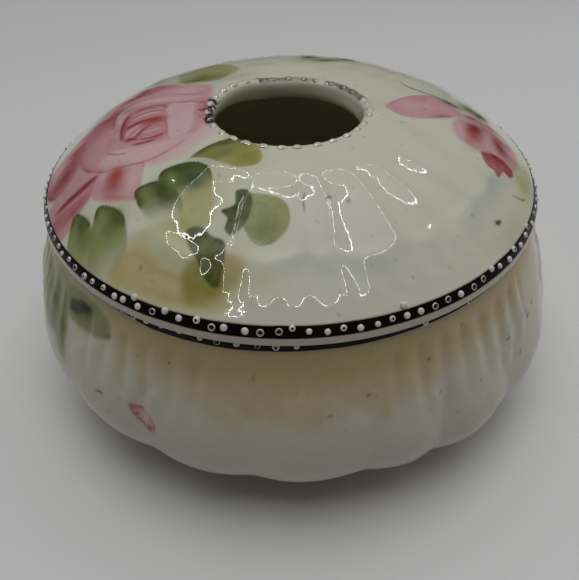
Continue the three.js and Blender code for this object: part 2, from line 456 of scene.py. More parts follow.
def paint_rose_side_petals(c):
    """The petals at the left and right of the rose's heart."""
    # The left one is dark at its top and along the fold at its right
    c.glow(ROSE_MID, (-42.6, -0.6), (3.4, 6), -12, 0.85)
    c.glow(ROSE_DEEP, (-41.4, 5.4), (2.6, 3), -34, 0.9)
    c.glow(ROSE_DEEP, (-39.9, 6.2), (1.2, 2.4), -14, 0.6)
    c.shade(ROSE_DEEP, [(-38.1, -2.6), (-38.7, 1), (-39, 4), (-38.4, 6.8), (-36.6, 9.2)], 1.7, 0.7)
    c.stroke(ROSE_CORE, [(-38.2, -2.4), (-38.6, 1), (-38.9, 4), (-38.2, 7)], 0.4, 0.55, 0.4)
    c.stroke(ROSE_PALE, [
        (-37.3, -1), (-37.4, 5), (-36, 8), (-33, 9), (-28, 8.9), (-22, 7.6), (-18.6, 6.8),
    ], 2.2, 0.75, 1.2, 0.15)
    c.glow(ROSE_MID, (-36.4, 6.2), (0.7, 2.2), -20, 0.5)
    # The right one is the palest, with a pinker edge towards the mouth
    c.wash(ROSE_PALE, [
        (-27, 5.2), (-22.8, 5.3), (-20.8, 4), (-20.3, -3), (-20.6, -8.4), (-24.6, -10.2), (-26.2, -4),
    ], soft=1.2, strength=0.92)
    c.stroke(ROSE_DEEP, [
        (-28, 6.2), (-25.6, 6.4), (-22.5, 5.6), (-20.4, 4.6), (-19.2, 3.6),
    ], 0.45, 0.6, 0.5)
    c.glow(ROSE_MID, (-19, 1), (1.3, 5), 4, 0.75)
    c.glow(ROSE_LIGHT, (-18.6, 9.6), (1.4, 2.6), 0, 0.6)
    c.stroke(ROSE_CORE, [(-19.8, 0.6), (-18.9, 0), (-17.6, -1.6)], 0.9, 0.7, 0.6)
    c.stroke(ROSE_CORE, [(-19.6, 4.6), (-18.7, 3.8), (-17.9, 2.6)], 0.7, 0.6, 0.5)
    c.stroke(ROSE_DEEP, [(-19.4, -3.4), (-18.2, -2.6), (-17.2, -2)], 0.8, 0.6, 0.6)
    c.stroke(ROSE_CORE, [(-17.6, -4.4), (-16.9, -6), (-16, -7.4)], 0.5, 0.4, 0.5)


def paint_rose_heart(c):
    """The curled petals in the rose's middle, drawn with dark red lines."""
    c.wash(ROSE_MID, [
        (-35.6, 4.6), (-31, 5.6), (-27.6, 5), (-26.6, 0), (-25.8, -8), (-29, -10.8), (-34, -9.6),
        (-36.2, -5), (-36.4, 0),
    ], soft=0.9, strength=0.5)
    c.shade(ROSE_CORE, [
        (-34.4, -9), (-35.6, -7.4), (-36.1, -3.6), (-36.2, 1.2), (-35.2, 4.6),
    ][::-1], 1, 0.95)
    c.stroke(ROSE_BROWN, [(-35.6, 2.6), (-36.1, -0.6), (-36, -4.4), (-35.2, -7.4)], 0.6, 0.6, 0.5)
    c.shade(ROSE_CORE, [(-35, 4.3), (-33, 5.1), (-30, 5.7), (-28, 5.2), (-27.2, 3.6)], 0.7, 0.85)
    c.stroke(ROSE_DEEP, [(-34.8, 3.2), (-33.4, 4.2), (-31, 4.6), (-28.6, 4.2)], 0.6, 0.6, 0.5)
    c.stroke(ROSE_DEEP, [(-34.6, 0.9), (-32.6, 2.4), (-29.8, 3.3), (-27.4, 2.6)], 0.5, 0.7, 0.45)
    c.stroke(ROSE_PALE, [(-34.4, 1.9), (-32.4, 3.2), (-29.6, 3.9), (-27.6, 3.5)], 0.6, 0.7, 0.4)
    c.stroke(ROSE_PALE, [(-34.8, -0.6), (-33, 1.2), (-30, 2.1), (-27.2, 1.5)], 0.8, 0.7, 0.5)
    c.glow(ROSE_ORANGE, (-29.2, -1.2), (2.6, 1.5), 8, 0.95)
    c.glow(ROSE_ORANGE, (-29.6, -2.6), (2, 1.4), 20, 0.5)
    c.shade(ROSE_CORE, [
        (-26.7, -0.3), (-29.6, -0.2), (-32.4, -1), (-34.4, -2.6), (-35.4, -4.2),
    ], 1, 0.9)
    c.stroke(ROSE_BROWN, [(-35.5, -4.4), (-34, -2.7), (-32, -1.4), (-30, -0.8)], 0.45, 0.65, 0.45)
    c.stroke(ROSE_PALE, [(-34.4, -7.8), (-34.2, -5.4), (-33, -3.6), (-31.6, -2.8)], 0.9, 0.8, 0.5)
    c.stroke(ROSE_CORE, [(-29.4, -3.2), (-31, -5.2), (-32.8, -8.2)], 0.7, 0.85, 0.5)
    c.stroke(ROSE_PALE, [(-31.6, -4.4), (-32.6, -6.6), (-33.6, -8)], 0.6, 0.75, 0.4)
    c.stroke(ROSE_CORE, [(-30.6, -4.4), (-31.4, -6.2), (-32.2, -8.6)], 0.45, 0.7, 0.4)
    c.glow(ROSE_CORE, (-33.2, -8.5), (1.1, 0.8), 20, 0.95)
    c.stroke(ROSE_CORE, [(-34.8, -8.6), (-33, -8.4), (-31.6, -9.2)], 0.7, 0.85, 0.4)
    c.glow(ROSE_LIGHT, (-28.4, -5.6), (1.8, 1.6), 20, 0.6)
    c.stroke(ROSE_PALE, [(-31, -6.6), (-28.8, -5.6), (-26.8, -5.2)], 0.9, 0.7, 0.6)
    c.stroke(ROSE_DEEP, [(-30.4, -5.8), (-28.4, -5), (-26.6, -4.6)], 0.4, 0.5, 0.4)
    c.stroke(ROSE_CORE, [(-31.8, -9), (-29.4, -9.2), (-27.2, -8.4), (-25.6, -7.4)], 0.6, 0.9, 0.4)
    c.shade(ROSE_CORE, [(-26, -7.4), (-28, -9.6), (-30.4, -10.6), (-33, -10.6)], 0.8, 0.6)
    c.stroke(ROSE_CORE, [(-33, -10.8), (-31, -11), (-29, -10.6), (-27.6, -9.8)], 0.55, 0.9, 0.4)
    c.stroke(ROSE_DEEP, [
        (-26.6, 2.8), (-26.6, -1.8), (-25.9, -5), (-25.5, -8.4), (-24.9, -10.2),
    ], 0.4, 0.7, 0.4)


def paint_rose_lower_petal(c):
    """The rose's large lower petal: pale, with a thin darker edge that runs round it."""
    c.wash(ROSE_PALE, [
        (-36.5, -11.2), (-32, -12), (-26, -11.2), (-21.5, -9.8), (-20.2, -11), (-23.4, -15),
        (-29, -17.4), (-35, -17.4), (-39, -15.2),
    ], soft=2, strength=0.9)
    c.glow(ROSE_LIGHT, (-40.4, -8.5), (3.4, 5.2), 10, 0.75)
    c.glow(ROSE_MID, (-42.8, -7.2), (1.8, 4), 10, 0.35)
    c.glow(ROSE_MID, (-37.8, -7.6), (1.2, 3.4), 6, 0.35)
    c.shade(ROSE_DEEP, [
        (-45.4, -0.6), (-45.2, -6), (-44.2, -10.6), (-42.6, -13.8), (-40.2, -16.4), (-37, -17.7),
    ], 1, 0.6, taper=0.1)
    c.stroke(ROSE_CORE, [(-42.9, -13.2), (-40.4, -16.2), (-37.2, -17.7), (-36.2, -17.6)], 0.5, 0.8, 0.4)
    c.stroke(ROSE_DEEP, [
        (-37.4, -17.8), (-33, -18), (-29.3, -17.9), (-26.6, -16.9), (-23.2, -14.2), (-20.4, -10.8),
    ], 0.4, 0.7, 0.5)
    c.shade(ROSE_LIGHT, [
        (-37, -18.2), (-29.3, -18.2), (-26.2, -17.1), (-22.8, -14.2), (-20, -10.6),
    ][::-1], 0.9, 0.6)
    c.stroke(ROSE_DEEP, [(-44.8, -5.4), (-44.2, -6.4)], 0.9, 0.8, 0.4)
    c.stroke(ROSE_MID, [(-44.8, -4.6), (-41, -4.2), (-37.4, -4)], 0.4, 0.6, 0.5)
    c.stroke(ROSE_DEEP, [(-37.9, -11.4), (-36.4, -12.6), (-34, -13.4), (-33, -13.4)], 0.45, 0.75, 0.4)
    c.stroke(ROSE_DEEP, [(-35.8, -11), (-34.6, -11.2), (-33.4, -11.8)], 0.35, 0.5, 0.4)
    c.glow(SPECK, (-34.4, -15.6), (0.35, 0.3), 0, 0.5)


def paint_rose_outer_petals(c):
    """The rose's outer petals, at its left and below it."""
    # Outer petal at the far left, dark inside
    c.wash(ROSE_MID, [
        (-54.5, -6), (-50.5, -2), (-46.8, 0.5), (-45.4, -5), (-44.4, -11), (-45.4, -14.6), (-48.4, -17.4),
        (-52.4, -14.6), (-55, -10),
    ], soft=0.8, strength=0.85)
    c.glow(ROSE_CORE, (-47.6, -12), (1.8, 2.8), -20, 0.8)
    c.glow(ROSE_DEEP, (-46.8, -6.5), (1.8, 5.5), 4, 0.6)
    c.glow(ROSE_DEEP, (-50.5, -13.6), (2.6, 1.4), -40, 0.9)
    c.stroke(ROSE_CORE, [(-53, -12.6), (-51, -15.2), (-48.7, -17.3)], 0.6, 0.7, 0.5)
    c.glow(ROSE_DEEP, (-52.6, -9.4), (1.3, 3.2), 14, 0.6)
    c.glow(ROSE_LIGHT, (-50.4, -8), (0.9, 2.8), 6, 0.45)
    # Petal below it, out to the rim, with a dark red stroke down its middle
    c.wash(ROSE_LIGHT, [
        (-49.4, -18.2), (-46, -16.2), (-42, -15.6), (-38.4, -17.4), (-37.4, -20.6), (-39.4, -23.6),
        (-42.2, -27.2), (-45.4, -29.6), (-49, -26.6), (-50.6, -21.6),
    ], soft=0.8, strength=0.95)
    c.glow(ROSE_MID, (-44.6, -23.4), (5, 2.6), 30, 0.95)
    c.shade(ROSE_DEEP, [(-38.2, -17.8), (-40.6, -18.8), (-43.6, -20.4), (-48.2, -21.4)], 2.2, 0.8)
    c.stroke(ROSE_CORE, [
        (-48.4, -21.8), (-45.6, -21.2), (-42.6, -20.2), (-39.8, -18.6), (-38.4, -17.9),
    ], 1.7, 0.9, 1.2)
    c.stroke(ROSE_LIGHT, [(-47, -22.9), (-43, -21.9), (-39.6, -20.6)], 0.9, 0.7, 0.7)
    c.glow(ROSE_DEEP, (-42.6, -24.4), (3.4, 1.1), 32, 0.75)
    c.glow(ROSE_DEEP, (-47.4, -25), (1.6, 1.8), 0, 0.55)
    # Orange petal under the rose
    c.wash(ROSE_LIGHT, [
        (-38.2, -18.3), (-33, -18.6), (-29.2, -18.2), (-28.6, -22), (-28.9, -28), (-32, -27.6),
        (-36.6, -25.8), (-38.8, -23.6),
    ], soft=0.7, strength=0.9)
    c.glow(ROSE_PALE, (-30.4, -22.2), (1.3, 3.4), 0, 0.85)
    c.glow(ROSE_DEEP, (-34.6, -22.6), (2, 3.4), 10, 0.9)
    c.glow(ROSE_ORANGE, (-34.2, -20), (1.5, 2.4), 4, 0.98)
    c.glow(ROSE_PALE, (-37.2, -19.2), (0.7, 1.4), 0, 0.6)
    c.stroke(ROSE_DEEP, [(-36.8, -17.9), (-33.4, -18.2), (-29.2, -18.2), (-28.7, -20.6)], 0.4, 0.6, 0.4)
    c.stroke(ROSE_DEEP, [(-36.6, -24.4), (-34.2, -25.8), (-32, -26.6), (-29.4, -27.4)], 0.6, 0.5, 0.6)


def paint_mouth_leaf(c):
    """The leaf by the mouth: dark on the left, yellow on the right."""
    c.glow(YELLOW_WASH, (-9.5, -12.6), (3.8, 2), -24, 0.9)
    c.wash(OLIVE, [
        (-19.4, -19.2), (-16.6, -16.2), (-13.6, -14), (-10.6, -13.3), (-7.8, -14.2), (-6.2, -16.8),
        (-5.4, -20.4), (-6.2, -22.8), (-9.4, -23.6), (-12.6, -22.2), (-15.6, -20.2), (-18.2, -19.4),
    ], soft=0.6, strength=0.9)
    c.glow(LEAF_MID, (-12.6, -18.2), (4, 2), 30, 0.75)
    c.glow(OLIVE_DEEP, (-8.4, -20), (2.6, 3), 0, 0.8)
    c.shade(LEAF_DARK, [
        (-7.8, -15.2), (-9.6, -13.6), (-11.6, -13.4), (-13.8, -14.1), (-16.8, -16.4), (-19.4, -19.1),
    ], 1.5, 0.85, taper=0.14)
    c.glow(LEAF_DARK, (-12.8, -15), (2.6, 1), 18, 0.6)
    c.glow(LEAF_DARK, (-17.6, -18.2), (1.6, 0.6), 40, 0.6)
    c.stroke(LEAF_DARK, [(-19.4, -19.2), (-17.4, -19.5), (-15.4, -19.9), (-13.6, -20.9)], 0.35, 0.5, 0.4)


def paint_double_leaf(c):
    """Two joined leaves, dark at the top with a blue shadow, that fade into the washes below."""
    c.wash(OLIVE, [
        (-15.4, -25.4), (-14.2, -29), (-13.9, -33), (-14.8, -36.6), (-17.2, -37.4), (-20.2, -36),
        (-20.4, -32), (-18.4, -28),
    ], soft=1.6, strength=0.7)
    c.wash(LEAF_MID, [
        (-24.8, -22.4), (-23.2, -21.2), (-20.2, -20.6), (-17.2, -21.3), (-15.4, -23.2), (-14.5, -26.2),
        (-15, -29.4), (-18.4, -31.6), (-22.6, -29), (-24.8, -26),
    ], soft=0.45, strength=0.95, fade=((-19.4, -25.6), (-16.2, -30.8)))
    c.wash(LEAF_MID, [
        (-29.4, -26.2), (-27.4, -25), (-24.8, -24.9), (-22.4, -26.6), (-20.2, -30), (-19.8, -33),
        (-21.6, -34.8), (-25, -34.4), (-27.2, -31.8), (-28.6, -28.8),
    ], soft=0.5, strength=0.92, fade=((-23.6, -29), (-24.4, -35)))
    c.glow(LEAF_LIGHT, (-26.6, -29.4), (1.2, 2.4), 30, 0.6)
    c.shade(LEAF_DARK, [
        (-14.8, -26), (-15.4, -23.4), (-17.2, -21.4), (-20.2, -20.7), (-23.2, -21.4), (-24.8, -22.8),
        (-25.1, -25),
    ], 1.3, 0.95, taper=0.12)
    c.glow(LEAF_DARK, (-20.8, -22.4), (2.6, 1.3), 6, 0.8)
    c.glow(LEAF_BLUE, (-18.6, -24.8), (2.6, 2.2), -20, 0.98)
    c.glow(LEAF_BLUE, (-17.9, -26.8), (1.6, 1.2), -20, 0.75)
    c.shade(LEAF_DARK, [
        (-24.4, -24.9), (-27.4, -24.9), (-29.4, -26), (-28.8, -28.6), (-27.6, -31),
    ], 0.8, 0.95, taper=0.1)
    c.glow(LEAF_DARK, (-24.2, -27.4), (1.6, 2.8), 25, 0.9)
    c.glow(LEAF_DARK, (-22.4, -29.8), (1.4, 1.4), 25, 0.5)
    c.glow(LEAF_LIGHT, (-22.6, -24.6), (0.8, 1.9), 10, 0.55)


def paint_leaf_pair(c):
    """Two leaves near the rim at the left, crisp at the top and pale at the bottom."""
    c.wash(LEAF_LIGHT, [
        (-42.4, -25.8), (-40.8, -26.6), (-38.8, -28.8), (-37.8, -31), (-36.8, -34), (-36.6, -38),
        (-42, -36.6), (-43.2, -30),
    ], soft=0.5, strength=0.95, fade=((-40, -32.5), (-38.8, -40)))
    c.wash(LEAF_LIGHT, [
        (-36.8, -27), (-33.8, -28.2), (-31.4, -30.6), (-30.3, -33.8), (-29.9, -38), (-32, -41.5),
        (-37, -40), (-38, -33), (-37.4, -29.6),
    ], soft=0.5, strength=0.95, fade=((-34, -33.5), (-33.6, -42.5)))
    c.glow(LEAF_MID, (-39.6, -31.6), (1.7, 3.4), 14, 0.6)
    c.glow(LEAF_MID, (-34.2, -32.2), (2.2, 3.6), 20, 0.5)
    c.shade(LEAF_DARK, [
        (-38.2, -30.6), (-38.9, -28.9), (-40.8, -26.7), (-42.4, -25.9), (-42.9, -29),
    ], 1.1, 0.85, taper=0.1)
    c.shade(LEAF_DARK, [
        (-30.6, -33.8), (-31.5, -30.6), (-33.9, -28.3), (-36.8, -27.1), (-37.5, -30.4),
    ], 1.1, 0.85, taper=0.1)
    c.glow(LEAF_DARK, (-32.8, -31), (1.2, 2), 25, 0.8)
    c.glow(LEAF_DARK, (-40.4, -29.2), (0.9, 1.8), 15, 0.6)
    c.stroke(LEAF_LIGHT, [(-36.8, -29.6), (-37, -33.4), (-36, -38)], 0.7, 0.5, 0.7)


def paint_middle_leaf(c):
    """The leaf in the middle, half dark and half light."""
    c.wash(LEAF_LIGHT, [
        (-8.2, -31.6), (-5.2, -30.8), (-2.2, -31.8), (-0.5, -34.4), (-0.6, -38.4), (-3.6, -41.4),
        (-7, -40.2), (-8.8, -37),
    ], soft=0.4, strength=0.92)
    c.wash(LEAF_DARK, [
        (-10, -29.6), (-7.6, -30.2), (-7, -33.6), (-8.2, -37.6), (-10.4, -39.6), (-11.8, -38),
        (-11.4, -35.8), (-12.6, -33.8), (-10.2, -33),
    ], soft=0.5, strength=0.88)
    c.glow(LEAF_MID, (-4.4, -38.4), (2.8, 1.8), 10, 0.65)
    c.glow(OLIVE, (-1.6, -36.4), (0.9, 2.4), 0, 0.6)
    c.stroke(LEAF_MID, [(-8.2, -39.4), (-5.6, -41.4), (-2.6, -41)], 0.4, 0.6, 0.4)


def paint_rim_leaf(c):
    """A small dark leaf at the front by the rim, over an olive wash."""
    c.wash(OLIVE_DEEP, [
        (-19, -44.6), (-16, -42.4), (-11, -43), (-8.4, -45), (-9.2, -47.6), (-13, -49.2),
        (-18.2, -49),
    ], soft=2.2, strength=0.85)
    c.glow(BROWN_WASH, (-9.4, -44.4), (2.6, 3), 0, 0.5)
    c.wash(LEAF_DARK, [
        (-18.8, -37), (-16.2, -36.6), (-14, -38.8), (-11.8, -40.4), (-11.6, -43.6), (-12.6, -47.8),
        (-14.8, -46.6), (-16.6, -43), (-18.2, -40),
    ], soft=0.6, strength=0.85)
    c.glow(LEAF_LIGHT, (-15.4, -39.8), (1, 0.8), 0, 0.5)


def paint_lid_washes(c):
    """Thin ochre, yellow and green tints that lie under the flowers."""
    c.glow(YELLOW_WASH, (-16.5, -29), (4.5, 7), -14, 0.75)
    c.glow(YELLOW_WASH, (-31.5, -29.5), (2.2, 3.4), -10, 0.5)
    # A wide ochre wash from the leaves down to the rim, with a soft top edge
    c.wash(YELLOW_WASH, [
        (-30, -36.2), (-26, -35), (-21, -34.6), (-17, -36.4), (-14, -41), (-10, -46), (-9, -50),
        (-16, -50.8), (-24, -48), (-31, -43.8), (-33.4, -41),
    ], soft=2.2, strength=0.6)
    c.wash(BROWN_WASH, [
        (-31.2, -38.6), (-28.4, -37.8), (-26, -38.6), (-22.4, -43), (-17.4, -45.6), (-12.6, -48.6),
        (-11.5, -51), (-17, -50.6), (-24, -48), (-31.5, -43.4), (-33.2, -41.2),
    ], soft=2.2, strength=0.55)
    c.glow(BROWN_WASH, (-31, -41.6), (1.8, 1.4), -36, 0.5)
    c.glow(OLIVE, (-19.6, -36.2), (2.6, 1.8), -30, 0.5)
    c.glow(LEAF_PALE, (-38, -37.6), (5, 3.4), -42, 0.8)
    c.stroke(OCHRE_DEEP, [(-27, -44.8), (-23, -46.8), (-17, -49.2), (-13, -50.4)], 0.9, 0.5, 1)
    c.stroke(OCHRE_DEEP, [(-31, -38.8), (-27.6, -39.6), (-24.4, -42.6), (-20, -44.8)], 0.6, 0.45, 0.9)
    c.stroke(OCHRE_DEEP, [(-26, -42.4), (-22, -44.4), (-17.5, -46.2)], 0.7, 0.4, 0.9)
    c.glow(YELLOW_WASH, (-6, -47.5), (5, 2.2), -8, 0.4)
    c.glow(LEAF_PALE, (45, -31), (4.5, 7), -40, 0.3)
    c.glow(YELLOW_WASH, (48.6, -15.6), (1.8, 4.4), -10, 0.95)
    c.glow(YELLOW_WASH, (51, -10), (1.4, 6), -6, 0.6)
    c.glow(ROSE_PALE, (6, -36), (9, 6), 0, 0.22)
    c.glow(ROSE_PALE, (22, 27), (9, 5), 20, 0.25)


def paint_right_rose(c):
    """The half-open rose at the right, with one long petal towards the mouth."""
    c.wash(ROSE_LIGHT, [
        (21.2, 0.4), (22.4, 3.2), (25.6, 6.2), (29.6, 8.6), (33, 9.4), (36.4, 6.6), (38.8, 3.2),
        (37.4, 1), (35.2, -0.8), (31.4, -2.9), (27.6, -3.6), (23.6, -2.6),
    ], soft=0.5, strength=0.95)
    c.glow(ROSE_MID, (30.4, 7.2), (2.6, 0.9), 24, 0.6)
    c.shade(ROSE_MID, [(33.4, 9.2), (29.4, 8.4), (25.4, 6), (22.5, 3.1), (21.2, 0.4)], 0.7, 0.6)
    c.glow(ROSE_DEEP, (33.4, -1.2), (2.6, 0.8), 26, 0.7)
    c.glow(ROSE_PALE, (28, 2.4), (3.6, 1.8), 20, 0.35)
    c.stroke(ROSE_PALE, [(36.6, 2), (36.2, -1), (35.2, -4.4)], 0.6, 0.7, 0.5)
    c.wash(ROSE_LIGHT, [
        (37.6, 1.4), (41, 3.4), (45, 2.6), (48.6, 0.6), (50.2, -4), (49.4, -9.4), (47.4, -13), (43, -14),
        (38.6, -12.6), (35.2, -9.4), (35, -4.8), (36.6, -1.2),
    ], soft=1.7, strength=0.9)
    c.glow(ROSE_PALE, (42.6, -7.6), (1.2, 4.4), -12, 0.75)
    c.glow(ROSE_PALE, (36.4, -6.4), (0.9, 3.4), -8, 0.6)
    c.glow(ROSE_DEEP, (39.6, -5.8), (1.8, 4.8), -20, 0.95)
    c.glow(ROSE_ORANGE, (39.4, -4.8), (1.7, 2.2), -10, 0.75)
    c.glow(ROSE_CORE, (40.4, -2.8), (1.7, 1.6), 30, 0.95)
    c.glow(ROSE_BROWN, (40, -3.8), (0.8, 1.2), -20, 0.6)
    c.glow(ROSE_BROWN, (43.2, -1.4), (0.8, 0.8), 0, 0.4)
    c.glow(ROSE_DEEP, (45.6, -6.2), (2.2, 4.2), -8, 0.95)
    c.glow(ROSE_CORE, (45.4, -7), (0.9, 2.6), -8, 0.75)
    c.glow(ROSE_DEEP, (48.2, -4), (0.9, 2.2), 0, 0.5)
    c.glow(ROSE_DEEP, (41.2, 2.6), (1.9, 1.1), 10, 0.8)
    c.glow(ROSE_MID, (45, 1.2), (2.2, 1.2), -20, 0.6)
    c.stroke(ROSE_CORE, [(42.4, 0.6), (43.4, 1.4)], 0.7, 0.7, 0.4)


def paint_right_rose_foot(c):
    """Frilled petals at the foot of the right rose, and the calyx, stem and leaf behind it."""
    c.wash(ROSE_DEEP, [
        (39.6, -12.4), (41, -12), (43.4, -11.4), (45.6, -12.6), (46.6, -13.8), (46.2, -15.6),
        (45, -16.9), (43.8, -16.2), (43, -17.4), (41.8, -19), (41.2, -17.4), (40.2, -16.9),
        (39.5, -15.2),
    ], soft=0.4, strength=0.92)
    c.glow(ROSE_CORE, (43.6, -12.9), (2.2, 0.9), -32, 0.9)
    c.glow(ROSE_BROWN, (42.8, -12.2), (1, 0.5), -32, 0.6)
    c.stroke(ROSE_MID, [(41.8, -14), (41.5, -15.8), (41.7, -17.8)], 0.5, 0.7, 0.4)
    c.stroke(ROSE_MID, [(43.4, -14.6), (43.6, -15.8)], 0.5, 0.6, 0.4)
    c.glow(LEAF_DARK, (37, 7.2), (2.8, 1.1), -38, 0.9)
    c.stroke(LEAF_DARK, [
        (26.8, 17.4), (27.2, 15), (29.2, 12.6), (32.6, 10.2), (35.6, 8.4), (38.6, 5.6),
    ], 0.8, 0.6, 0.7)
    c.glow(LEAF_MID, (41.6, 7.8), (2.4, 2), 20, 0.85)
    c.glow(LEAF_DARK, (44.2, 6.4), (1.8, 2.4), -30, 0.8)
    c.glow(YELLOW_WASH, (41.2, 4.8), (0.6, 0.5), 0, 0.8)


def paint_back_flowers(c):
    """Sprays on the side that faces away."""
    c.wash(LEAF_PALE, [
        (-25.3, 17.6), (-27, 23), (-26, 30), (-21, 32.5), (-14, 28.5), (-12, 24.6), (-14.4, 20.6),
        (-17, 17.2), (-21.5, 16.6),
    ], soft=1.8, strength=0.9)
    c.glow(LEAF_LIGHT, (-20, 22), (5, 3), 10, 0.6)
    c.glow(LEAF_DARK, (-21.6, 18.8), (3.8, 1), -4, 0.8)
    c.glow(LEAF_MID, (-20, 20.4), (4, 1.4), 4, 0.8)
    for centre, radii, turn, dark in [
        ((-32.5, 25), (2.8, 5), -22, LEAF_DARK), ((-36, 31), (3.6, 2.4), 45, LEAF_MID),
        ((10, 31), (5.6, 2.2), 6, LEAF_LIGHT), ((14.6, 33.4), (3.2, 1.6), -14, LEAF_DARK),
        ((6, 34), (2.6, 2), 30, LEAF_MID), ((30, 34), (4.2, 2), -40, LEAF_MID),
    ]:
        c.glow(dark, centre, radii, turn, 0.9)
        inner = (radii[0] * 0.55, radii[1] * 0.4)
        c.glow(LEAF_DARK, (centre[0] - 0.5, centre[1] - 0.6), inner, turn, 0.5)
    paint_small_rose(c, (-12, 41), 6.4, 25)
    paint_small_rose(c, (22, 42), 4.6, -40)
    for tip, root, width in [
        ((-24, 46), (-17, 41), 3.4), ((-20, 38), (-14, 36), 3), ((-2, 50), (-7, 44), 3.2),
        ((12, 48), (18, 43), 3), ((31, 40), (26, 41), 2.8),
    ]:
        paint_small_leaf(c, tip, root, width)
    c.glow(YELLOW_WASH, (4, 44), (9, 4), -10, 0.5)
    c.glow(BROWN_WASH, (-28, 44), (6, 3), 40, 0.4)


def paint_small_rose(c, centre, size, turn_deg):
    """A rose in one-stroke petals, round a dark heart."""
    cx, cy = centre
    turn = math.radians(turn_deg)

    def on_oval(across, up, angle):
        """A place at the angle on an oval round the centre, whose half-axes are shares of the size."""
        return (cx + across * size * math.cos(angle), cy + up * size * math.sin(angle))

    ring = []
    for a in np.linspace(0, 2 * math.pi, 20, endpoint=False):
        bulge = 1 + 0.12 * math.cos(5 * a)
        ring.append(on_oval(bulge, 0.9 * bulge, a + turn))
    c.wash(ROSE_LIGHT, ring, soft=0.8, strength=0.95)
    for k in range(5):
        a = turn + k * 2 * math.pi / 5
        tint = ROSE_MID if k % 2 else ROSE_PALE
        c.glow(tint, on_oval(0.58, 0.52, a), (0.42 * size, 0.24 * size), math.degrees(a) + 90, 0.8)
        c.stroke(ROSE_DEEP, [on_oval(0.8, 0.72, a + d) for d in (-0.5, 0, 0.5)], 0.5, 0.6, 0.5)
    c.glow(ROSE_DEEP, centre, (0.42 * size, 0.36 * size), turn_deg, 0.9)
    c.glow(ROSE_CORE, (cx + 0.1 * size, cy - 0.08 * size), (0.22 * size, 0.16 * size), turn_deg, 0.9)
    for k in range(3):
        a = turn + k * 2.1
        arc = [on_oval(0.2 + 0.1 * k, 0.18 + 0.09 * k, a + d) for d in (-0.9, 0, 0.9)]
        c.stroke(ROSE_CORE, arc, 0.4, 0.7, 0.4)


def paint_small_leaf(c, tip, root, width):
    """A leaf in two strokes, one half darker."""
    tip, root = np.array(tip, float), np.array(root, float)
    along = root - tip
    across = np.array([-along[1], along[0]]) / np.linalg.norm(along)
    wide, narrow = across * width / 2, across * width / 2.2
    near_tip, near_root = tip + 0.35 * along, tip + 0.75 * along
    outline = [tip, near_tip + wide, near_root + narrow, root, near_root - narrow, near_tip - wide]
    c.wash(LEAF_LIGHT, outline, soft=0.5, strength=0.9)
    c.shade(LEAF_DARK, outline[3:] + outline[:1], 0.9, 0.8)
    c.stroke(LEAF_DARK, [tip, (tip + root) / 2, root], 0.35, 0.5, 0.4)


def paint_lid_marks(c):
    """Small mauve and brown marks, specks in the glaze, and a stray brush mark."""
    c.stroke(MAUVE, [(2.6, -30.8), (2.2, -33.2), (2.4, -36.4)], 0.45, 0.65, 0.4)
    c.stroke(MAUVE, [(6, -32.9), (6.8, -32.2), (7.4, -32.6)], 0.7, 0.7, 0.4)
    c.glow(MAUVE, (10.3, -32.6), (0.45, 0.7), 0, 0.6)
    c.stroke(ROSE_BROWN, [(44.3, -21.6), (46, -21.5), (47.4, -20.9), (48, -19.9)], 0.4, 0.75, 0.35)
    c.stroke(LEAF_DARK, [(38.6, -31.4), (39.4, -30.6), (40.2, -29.8)], 0.8, 0.85, 0.4)
    c.glow(SPECK, (39, -31), (0.5, 0.4), 0, 0.8)
    c.glow(SPECK, (-26.8, -42), (0.4, 0.35), 0, 0.6)
    chance = np.random.default_rng(21)
    for _ in range(150):
        angle = chance.uniform(-math.pi, math.pi)
        radius = chance.uniform(20, 53)
        size = chance.uniform(0.14, 0.3)
        at = (radius * math.sin(angle), -radius * math.cos(angle))
        c.glow(SPECK, at, (size, size), 0, chance.uniform(0.15, 0.5))


# ---- Materials ----
def glaze(name, roughness=0.035, lustre=1.0, fine_bump=0.035, tone=0.035, ior=1.5):
    """Glaze over the painted colour, with faint clouds in its tone and a slight ripple from the kiln."""
    material = bpy.data.materials.new(name)
    material.use_nodes = True
    nodes, links = material.node_tree.nodes, material.node_tree.links
    shader = nodes["Principled BSDF"]
    paint = nodes.new("ShaderNodeVertexColor")
    paint.layer_name = "paint"
    place = nodes.new("ShaderNodeTexCoord")
    clouds = nodes.new("ShaderNodeTexNoise")
    clouds.inputs["Scale"].default_value = 140
    clouds.inputs["Detail"].default_value = 5
    links.new(place.outputs["Object"], clouds.inputs["Vector"])
    brighten = nodes.new("ShaderNodeMapRange")
    brighten.inputs["To Min"].default_value = 1 - tone
    brighten.inputs["To Max"].default_value = 1 + tone
    links.new(clouds.outputs["Fac"], brighten.inputs["Value"])
    mix = nodes.new("ShaderNodeMix")
    mix.data_type = "RGBA"
    mix.blend_type = "MULTIPLY"
    mix.inputs["Factor"].default_value = 1
    links.new(paint.outputs["Color"], mix.inputs["A"])
    links.new(brighten.outputs["Result"], mix.inputs["B"])
    links.new(mix.outputs["Result"], shader.inputs["Base Color"])
    ripple = nodes.new("ShaderNodeTexNoise")
    ripple.inputs["Scale"].default_value = 420
    ripple.inputs["Detail"].default_value = 2
    links.new(place.outputs["Object"], ripple.inputs["Vector"])
    bump = nodes.new("ShaderNodeBump")
    bump.inputs["Strength"].default_value = fine_bump
    bump.inputs["Distance"].default_value = 0.0006
    links.new(ripple.outputs["Fac"], bump.inputs["Height"])
    links.new(bump.outputs["Normal"], shader.inputs["Normal"])
    shader.inputs["Roughness"].default_value = roughness
    shader.inputs["IOR"].default_value = ior
    shader.inputs["Specular IOR Level"].default_value = 0.5 * lustre
    return material


